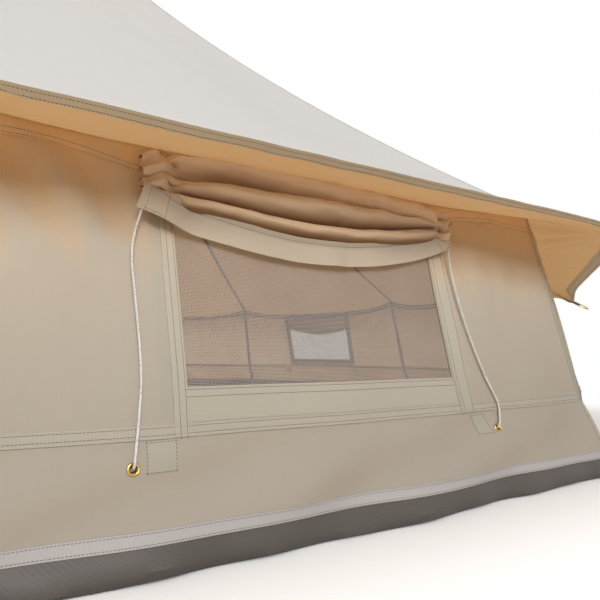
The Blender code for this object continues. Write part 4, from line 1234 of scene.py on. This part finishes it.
def make_window(window, side):
    """A window's netting, its drawn-up flap with the hem, and the eyelets below."""
    body = f"window_{window}_hem"
    across = np.linspace(-WINDOW_HALF - 0.018, WINDOW_HALF + 0.018, 45)
    height = np.linspace(WINDOW_SILL - 0.018, WINDOW_TOP + 0.018, 25)[:, None]
    slack = 0.0007 * np.sin(across * 16 + height * 9) * np.cos(across * 5)
    net = Cloth().wall(side, across, height, -0.0012 + slack)
    made = net.piece(f"window_{window}_net", NETTING, "tent", "netting", [f"window_{window}_netting"])
    points, places, folds = flap_points(side)
    name = f"window_{window}_flap_rolls"
    mesh = Cloth().grid(points, places).mesh(name, sharp=75)
    # The fold attribute carries the flap's painted shade to its material
    mesh.attributes.new("fold", "FLOAT", "POINT").data.foreach_set("value", folds.astype(np.float32).ravel())
    made = piece(name, mesh, FLAP_CANVAS_WITH_PAINTED_LIGHT, None)
    start, end = on_wall(side, 0.0, FLAP_TOP), on_wall(side, 0.0, 0.560)
    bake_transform(made)
    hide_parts(f"window_{window}_flap")
    make_flap_hem(window, side, body)
    for hand, across in EYELET_AT.items():
        make_eyelet(f"window_{window}_eyelet_{hand}", side, across)


def hem_out(across, share):
    """How far the hem's face stands out, with puckers along its lower edge and a lip along its top."""
    free = smooth(0.33 - abs(across), 0, 0.08)
    pucker = np.sin(across * 83 + 2 * np.sin(across * 19)) * smooth(across, -0.1, 0.15)
    pucker = pucker + 0.5 * np.sin(across * 41 + 1.0)
    lip = 0.009 * smooth(share, 0.80, 1.0) * smooth(0.32 - abs(across), 0, 0.06)
    ends = 0.018 * smooth(-across, 0.255, 0.325) + 0.010 * smooth(across, 0.265, 0.330)
    return HEM_OUT + HEM_THICK / 2 + 0.0015 * pucker * np.clip(1 - share, 0, 1) ** 0.7 * free + lip + ends


def make_flap_hem(window, side, body):
    hem = Cloth()
    left = np.linspace(-HEM_HALF_WIDTH - 0.008, -0.24, 32)[:-1]
    right = np.linspace(0.3, HEM_HALF_WIDTH, 12)[1:]
    across = np.concatenate([left, np.linspace(-0.24, 0.3, 84), right])
    share = np.linspace(0, 1, 16)[:, None]
    tall = HEM_HEIGHT + 0.009 * smooth(-across, 0.252, 0.268) * smooth(across, -0.318, -0.300)
    a = np.broadcast_to(across, (16, len(across)))
    out = hem_out(a, share)
    spread, height = on_hem(a, tall * share)
    pad = [np.pad(x, 1, mode="edge") for x in (spread, height, out)]
    pad[2][[0, -1]] -= HEM_THICK * 0.8
    pad[2][:, [0, -1]] -= HEM_THICK * 0.8
    hem.wall(side, *pad)
    back = [x[:, ::-1] for x in (spread, height, out - HEM_THICK * 0.8)]
    hem.wall(side, *back)
    nodes = [f"window_{window}_flap_hem"]
    made = hem.piece(f"window_{window}_flap_hem_band", FLAP_HEM_CANVAS, body, "flap_canvas", nodes)
    group = f"hem_{window}"

    def sew(line, share):
        wall_stitch(group, side, *on_hem(line, HEM_HEIGHT * share), hem_out(line, share) + STITCH_LIFT)

    sew(np.linspace(-0.314, 0.318, 120), 0.86)
    for hand in (-1, 1):
        ends = hand * np.array((0.3485, 0.3165))
        t = np.linspace(0, 1, 10)
        for end in ends:
            sew(end, 0.07 + 0.85 * t)
        for up in (0.07, 0.92):
            sew(ends[0] + (ends[1] - ends[0]) * t, up)


def make_eyelet(name, side, across):
    """A pressed brass eyelet with a rolled rim and a spread back."""
    step = np.array((-0.004, 0.004))
    centre = on_wall(side, across, EYELET_HEIGHT)
    right = Vector(np.diff(on_wall(side, across + step, EYELET_HEIGHT), axis=0)[0]).normalized()
    up = Vector(np.diff(on_wall(side, across, EYELET_HEIGHT + step), axis=0)[0]).normalized()
    out = right.cross(up).normalized()
    place = Matrix.Translation(centre) @ Matrix((right, out.cross(right), out)).transposed().to_4x4()
    turn = np.linspace(0, math.pi, 11)
    middle, wide = (EYELET_RADIUS + EYELET_BORE) / 2, (EYELET_RADIUS - EYELET_BORE) / 2
    rim = [(middle + wide * math.cos(a), 0.0006 + 0.0017 * math.sin(a)) for a in turn]
    back = [(EYELET_BORE, -0.0012), (EYELET_BORE + 0.0012, -0.0017), (EYELET_RADIUS - 0.0008, -0.0014)]
    profile = [(EYELET_RADIUS, 0.0)] + rim + back
    turned(profile, place, 48).piece(name + "_brass", BRASS, "tent", "brass", [name], weld=0.00001)


# Base tape and groundsheet


def make_base():
    """The tape round the foot, and the groundsheet with its raised rim."""
    tape, floor = Cloth(), Cloth()
    for side in range(SIDES):
        share = np.linspace(-1, 1, 97)
        rows = np.array((TAPE_LOW - 0.0008, TAPE_LOW, TAPE_HIGH, TAPE_HIGH + 0.0004))[:, None]
        across = share * half_width(rows)
        lift = np.array((-0.0008, 0.0016, 0.0018, 0.0))[:, None]
        tape.wall(side, across, rows, lift)
        for height in (TAPE_LOW + 0.0026, TAPE_HIGH - 0.0026):
            wall_stitch(f"base_{side}", side, share * half_width(height), height, 0.0021)
        rim = np.array((SHEET_THICK, 0.006, 0.018, 0.035, 0.052))[:, None]
        bag = np.array((-0.010, -0.003, 0.003, 0.001, -0.0014))[:, None]
        fold = 0.0035 * np.sin(share * 31 + side) * np.array((0.3, 1, 1, 0.6, 0))[:, None] * (1 - share**8)
        sheet = on_wall(side, share * half_width(rim), rim, bag + fold)
        sheet[..., 2] = np.maximum(rim, SHEET_THICK)
        rings = np.linspace(0.0, 1, 22)[1:-1, None]
        inner = sheet[0][None] * rings[..., None]
        swell = 0.0016 * (1 + np.sin(inner[..., 0] * 9 + inner[..., 1] * 5))
        inner[..., 2] = SHEET_THICK + swell * smooth(1 - rings, 0, 0.1) * smooth(rings, 0.02, 0.2)
        points = np.concatenate([np.zeros((1, 97, 3)) + (0, 0, SHEET_THICK), inner, sheet])
        floor.grid(points, points[..., :2] + points[..., 2:])
    made = tape.piece("base_tape", TAPE, "tent", "groundsheet", weld=0.0003)
    sheet = floor.piece("groundsheet_tray", SHEET, "tent", "groundsheet", ["groundsheet"], weld=0.0003)
    area = SIDES * BASE_FLAT**2 * math.tan(HALF) + SIDES * 2 * half_width(0) * 0.055


# Front: door surround, two leaves, the zip and the poles


def door_points(across, up, out=0.0):
    """Points of the door's leaning plane: across, up the slope and out."""
    flat = BASE_FLAT - up * math.sin(LEAN) + out * math.cos(LEAN)
    return to_tent(0, together(flat, across, up * math.cos(LEAN) + out * math.sin(LEAN)))


def up_slope(height):
    return height / math.cos(LEAN)


DOOR_LOW, DOOR_HIGH = up_slope(DOOR_SILL), up_slope(DOOR_TOP)


def door_half(up):
    """Half width of the door's opening at a place up the slope."""
    return np.interp(up, (DOOR_LOW, DOOR_HIGH), (DOOR_HALF_WIDTH, DOOR_TOP_HALF_WIDTH))


def gable_half(up):
    foot, corner, peak = up_slope(WALL_FOOT), up_slope(SEAM_CORNER) - 0.006, up_slope(DOOR_PEAK) - 0.006
    return np.interp(up, (foot, corner, peak), (half_width(WALL_FOOT), half_width(SEAM_CORNER), 0.0))


def door_wave(across, up, seed):
    wave = np.sin(across * 9 + up * 6 + seed) + np.sin(across * 16 - up * 11 + 2 * seed)
    return DOOR_WAVE * wave


def make_surround():
    """The gable round the door: below, beside and above the opening, with a band along each edge."""
    cloth, bands = Cloth(), Cloth()
    foot, peak = up_slope(WALL_FOOT), up_slope(DOOR_PEAK) - 0.006
    t = np.linspace(0, 1, 13)
    blocks = (
        (np.linspace(foot, DOOR_LOW, 5), np.zeros_like),
        (np.linspace(DOOR_LOW, DOOR_HIGH, 40), door_half),
        (np.linspace(DOOR_HIGH, peak, 8), np.zeros_like),
    )
    for ups, inner in blocks:
        up = ups[:, None]
        across = inner(up) + (gable_half(up) - inner(up)) * t
        for hand in (-1, 1):
            cloth.grid(door_points(hand * across, up), together(hand * across, up), mirror=hand < 0)
    ups = np.linspace(DOOR_LOW - 0.004, DOOR_HIGH + 0.004, 60)[:, None]
    edges = door_half(ups) + np.array((0.0015, 0.0015, 0.030, 0.030))
    for hand in (-1, 1):
        points = door_points(hand * edges, ups, np.array((0.0, 0.0016, 0.0016, 0.0)))
        bands.grid(points, together(edges, ups), mirror=hand < 0)
        for inset in (0.006, 0.026):
            stitch("door_surround", door_points(hand * (door_half(ups) + inset), ups, 0.0020)[:, 0])
    made = cloth.piece("door_front", DOOR_CANVAS, "tent", "wall_canvas", ["door_surround"], weld=0.0002)
    sewn = [bands.piece("door_front_bands", DOOR_CANVAS, "tent", "wall_canvas")]
    area = half_width(0.35) * 2 * up_slope(0.655) + half_width(SEAM_CORNER) * (peak - up_slope(SEAM_CORNER))
    area -= (DOOR_HALF_WIDTH + DOOR_TOP_HALF_WIDTH) * (DOOR_HIGH - DOOR_LOW)


def make_leaves():
    """Two door leaves that meet at the zip, each with its tape, teeth and stitches."""
    low, high = DOOR_LOW + DOOR_GAP, DOOR_HIGH - DOOR_GAP
    ups = np.linspace(low, high, 66)[:, None]
    outer = door_half(ups) - 0.0012
    across = 0.001 + (outer - 0.001) * np.linspace(0, 1, 30)
    free = smooth((outer - across), 0, 0.08) * smooth(across, 0.0, 0.08)
    edges = np.array((0.0010, 0.0010, 0.0165, 0.0165))
    for hand, name in ((-1, "left"), (1, "right")):
        body, mirror = f"door_leaf_{name}", hand < 0
        wave = door_wave(hand * across, ups, 1 + hand) * free
        cloth = Cloth().grid(door_points(hand * across, ups, wave), together(across, ups), mirror=mirror)
        points = door_points(hand * edges, ups, np.array((0.0, 0.0012, 0.0012, -0.0004)))
        tape = Cloth().grid(points, together(ups, edges), mirror=mirror)
        made = cloth.piece(f"door_canvas_{name}", DOOR_CANVAS, body, "wall_canvas", [body])
        sewn = [tape.piece(f"door_zip_tape_{name}", ZIP_TAPE, body, "groundsheet")]
        line = door_points(np.full(60, hand * 0.0016), np.linspace(low + 0.01, high - 0.01, 60), 0.0012)
        lay_stitches(f"door_zip_teeth_{name}", [line], BRASS, body, ZIP_TOOTH)
        line = np.linspace(low, high, 60)
        hinge_edge = hand * (door_half(line) - 0.010)
        lines = [door_points(np.full(60, hand * 0.0135), line, 0.0017), door_points(hinge_edge, line, 0.0008)]
        lay_stitches(f"door_leaf_stitches_{name}", lines, THREAD, body)


def make_poles():
    """The centre pole's two sections, and the cap that it stands in."""
    joint, radius, sleeve = POLE_JOINT, POLE_RADIUS, POLE_RADIUS + 0.0008
    neck_low, neck_top = hip_height(PEAK_HOLE) - 0.055, hip_height(PEAK_HOLE) + 0.008
    top = neck_low + 0.030
    lower = [
        (0, 0.0015), (radius - 0.0025, 0.0015), (radius, 0.004), (radius, joint - 0.03),
        (sleeve, joint - 0.028), (sleeve, joint - 0.002), (radius, joint), (radius - 0.0015, joint),
    ]
    upper = [
        (radius - 0.0020, joint - 0.088), (radius - 0.0018, joint), (radius - 0.0003, joint + 0.0004),
        (radius, joint + 0.002), (radius, top), (0, top),
    ]
    for name, profile in (("lower", lower), ("upper", upper)):
        pole = turned(profile, Matrix(), 40)
        pole.piece(f"pole_{name}", STEEL, "tent", "steel", [f"centre_pole_{name}"], weld=0.00001)
    cap = [
        (radius + 0.0005, top), (radius + 0.0005, neck_low), (0.055, neck_low), (0.0575, neck_low + 0.003),
        (0.0575, neck_top), (0.083, neck_top), (0.085, neck_top + 0.0015), (0.085, neck_top + 0.004),
        (0.078, neck_top + 0.0075), (0.058, neck_top + 0.0125), (0.040, neck_top + 0.0160),
        (0.020, PEAK_HEIGHT - 0.0008), (0.0, PEAK_HEIGHT),
    ]
    pressed = turned(cap, Matrix(), 64)
    pressed.piece("peak_cap_pressed", STEEL, "tent", "steel", ["peak_cap"], weld=0.00001)


def dress_cad_nodes():
    """The rigid nodes that keep their own shape get their finish."""
    looks = {"door_zip_pull": BRASS, "door_pole_left": STEEL, "door_pole_right": STEEL}
    for name, look in looks.items():
        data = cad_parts[name].data
        data.materials.clear()
        data.materials.append(look)


# Floor, light and background


def seen_directly(shader):
    """1 for the rays that show the floor or the sky itself, and 0 for those that only light the tent."""
    path = shader.node("ShaderNodeLightPath").outputs
    seen = path["Is Camera Ray"]
    for kind in ("Is Glossy Ray", "Is Transmission Ray"):
        seen = shader.maths("MAXIMUM", seen, path[kind])
    return seen


def make_floor():
    """A pale floor that fades to white away from the tent."""
    made, shader = start_material("studio_floor")
    seen = seen_directly(shader)
    tone = shader.blended(seen, (0.50, 0.45, 0.385, 1), (0.93, 0.93, 0.925, 1))
    body = shader.node("ShaderNodeBsdfPrincipled", {"Base Color": tone, "Roughness": 0.9})
    place = shader.node("ShaderNodeTexCoord").outputs["Object"]
    reach = shader.node("ShaderNodeVectorMath", {0: place}, operation="LENGTH").outputs["Value"]
    far = shader.maths("MULTIPLY", seen, shader.ramp(reach, 3.0, 4.4))
    white = shader.node("ShaderNodeEmission", {"Color": (1, 1, 1, 1), "Strength": 1.0})
    shader.show(shader.mixed(far, body, white))
    reach = np.array((-40.0, 40.0))
    points = together(reach, reach[:, None], -0.0005)
    floor = bpy.data.objects.new("floor", Cloth().grid(points, points[..., :2]).mesh("floor"))
    floor.data.materials.append(made)
    bpy.context.scene.collection.objects.link(floor)


def make_sky():
    """A soft dome for light, which the camera sees as plain white."""
    world = bpy.data.worlds.new("studio")
    world.use_nodes = True
    world.node_tree.nodes.clear()
    sky = Shader(world.node_tree)
    aim = sky.node("ShaderNodeTexCoord").outputs["Generated"]
    lift = sky.node("ShaderNodeSeparateXYZ", {0: aim}).outputs[2]
    soft = sky.ramp(lift, 0.05, 0.95, 0.20, 0.85)
    dome = sky.node("ShaderNodeBackground", {"Color": (1.0, 0.99, 0.975, 1), "Strength": soft})
    white = sky.node("ShaderNodeBackground", {"Color": (1, 1, 1, 1), "Strength": 1.0})
    sky.show(sky.mixed(seen_directly(sky), dome, white), "ShaderNodeOutputWorld")
    bpy.context.scene.world = world


SOFTBOXES = {  # place, aim, size in metres and power in watts
    "top": ((0.0, 0.0, 7.0), (0, 0, 0.5), 6.0, 200.0),
    "front": ((7.0, -4.6, 3.4), (2.3, -0.75, 0.4), 2.6, 390.0),
    "back": ((-7.0, 4.6, 3.6), (0.0, 0.0, 0.6), 4.0, 270.0),
}


def make_lamps():
    for name, (place, target, size, power) in SOFTBOXES.items():
        data = bpy.data.lights.new(f"{name}_softbox", "AREA")
        data.size, data.energy = size, power
        lamp = aimed(f"{name}_softbox", data, place, Vector(target) - Vector(place))
        lamp.visible_camera = False
    bpy.context.scene.view_settings.view_transform = "Standard"


make_camera()
make_cords()
make_roof()
make_tie_outs()
for wall in range(1, SIDES):
    make_wall(wall)
for window_name, window_side in WINDOW_SIDES.items():
    make_window(window_name, window_side)
make_inner_seams()
make_base()
make_surround()
make_leaves()
make_poles()
dress_cad_nodes()
for group_name, lines_of_group in STITCHES.items():
    rides_on = f"window_{group_name[4:]}_hem" if group_name.startswith("hem_") else "tent"
    lay_stitches(f"stitches_{group_name}", lines_of_group, THREAD, rides_on)
make_floor()
make_sky()
make_lamps()
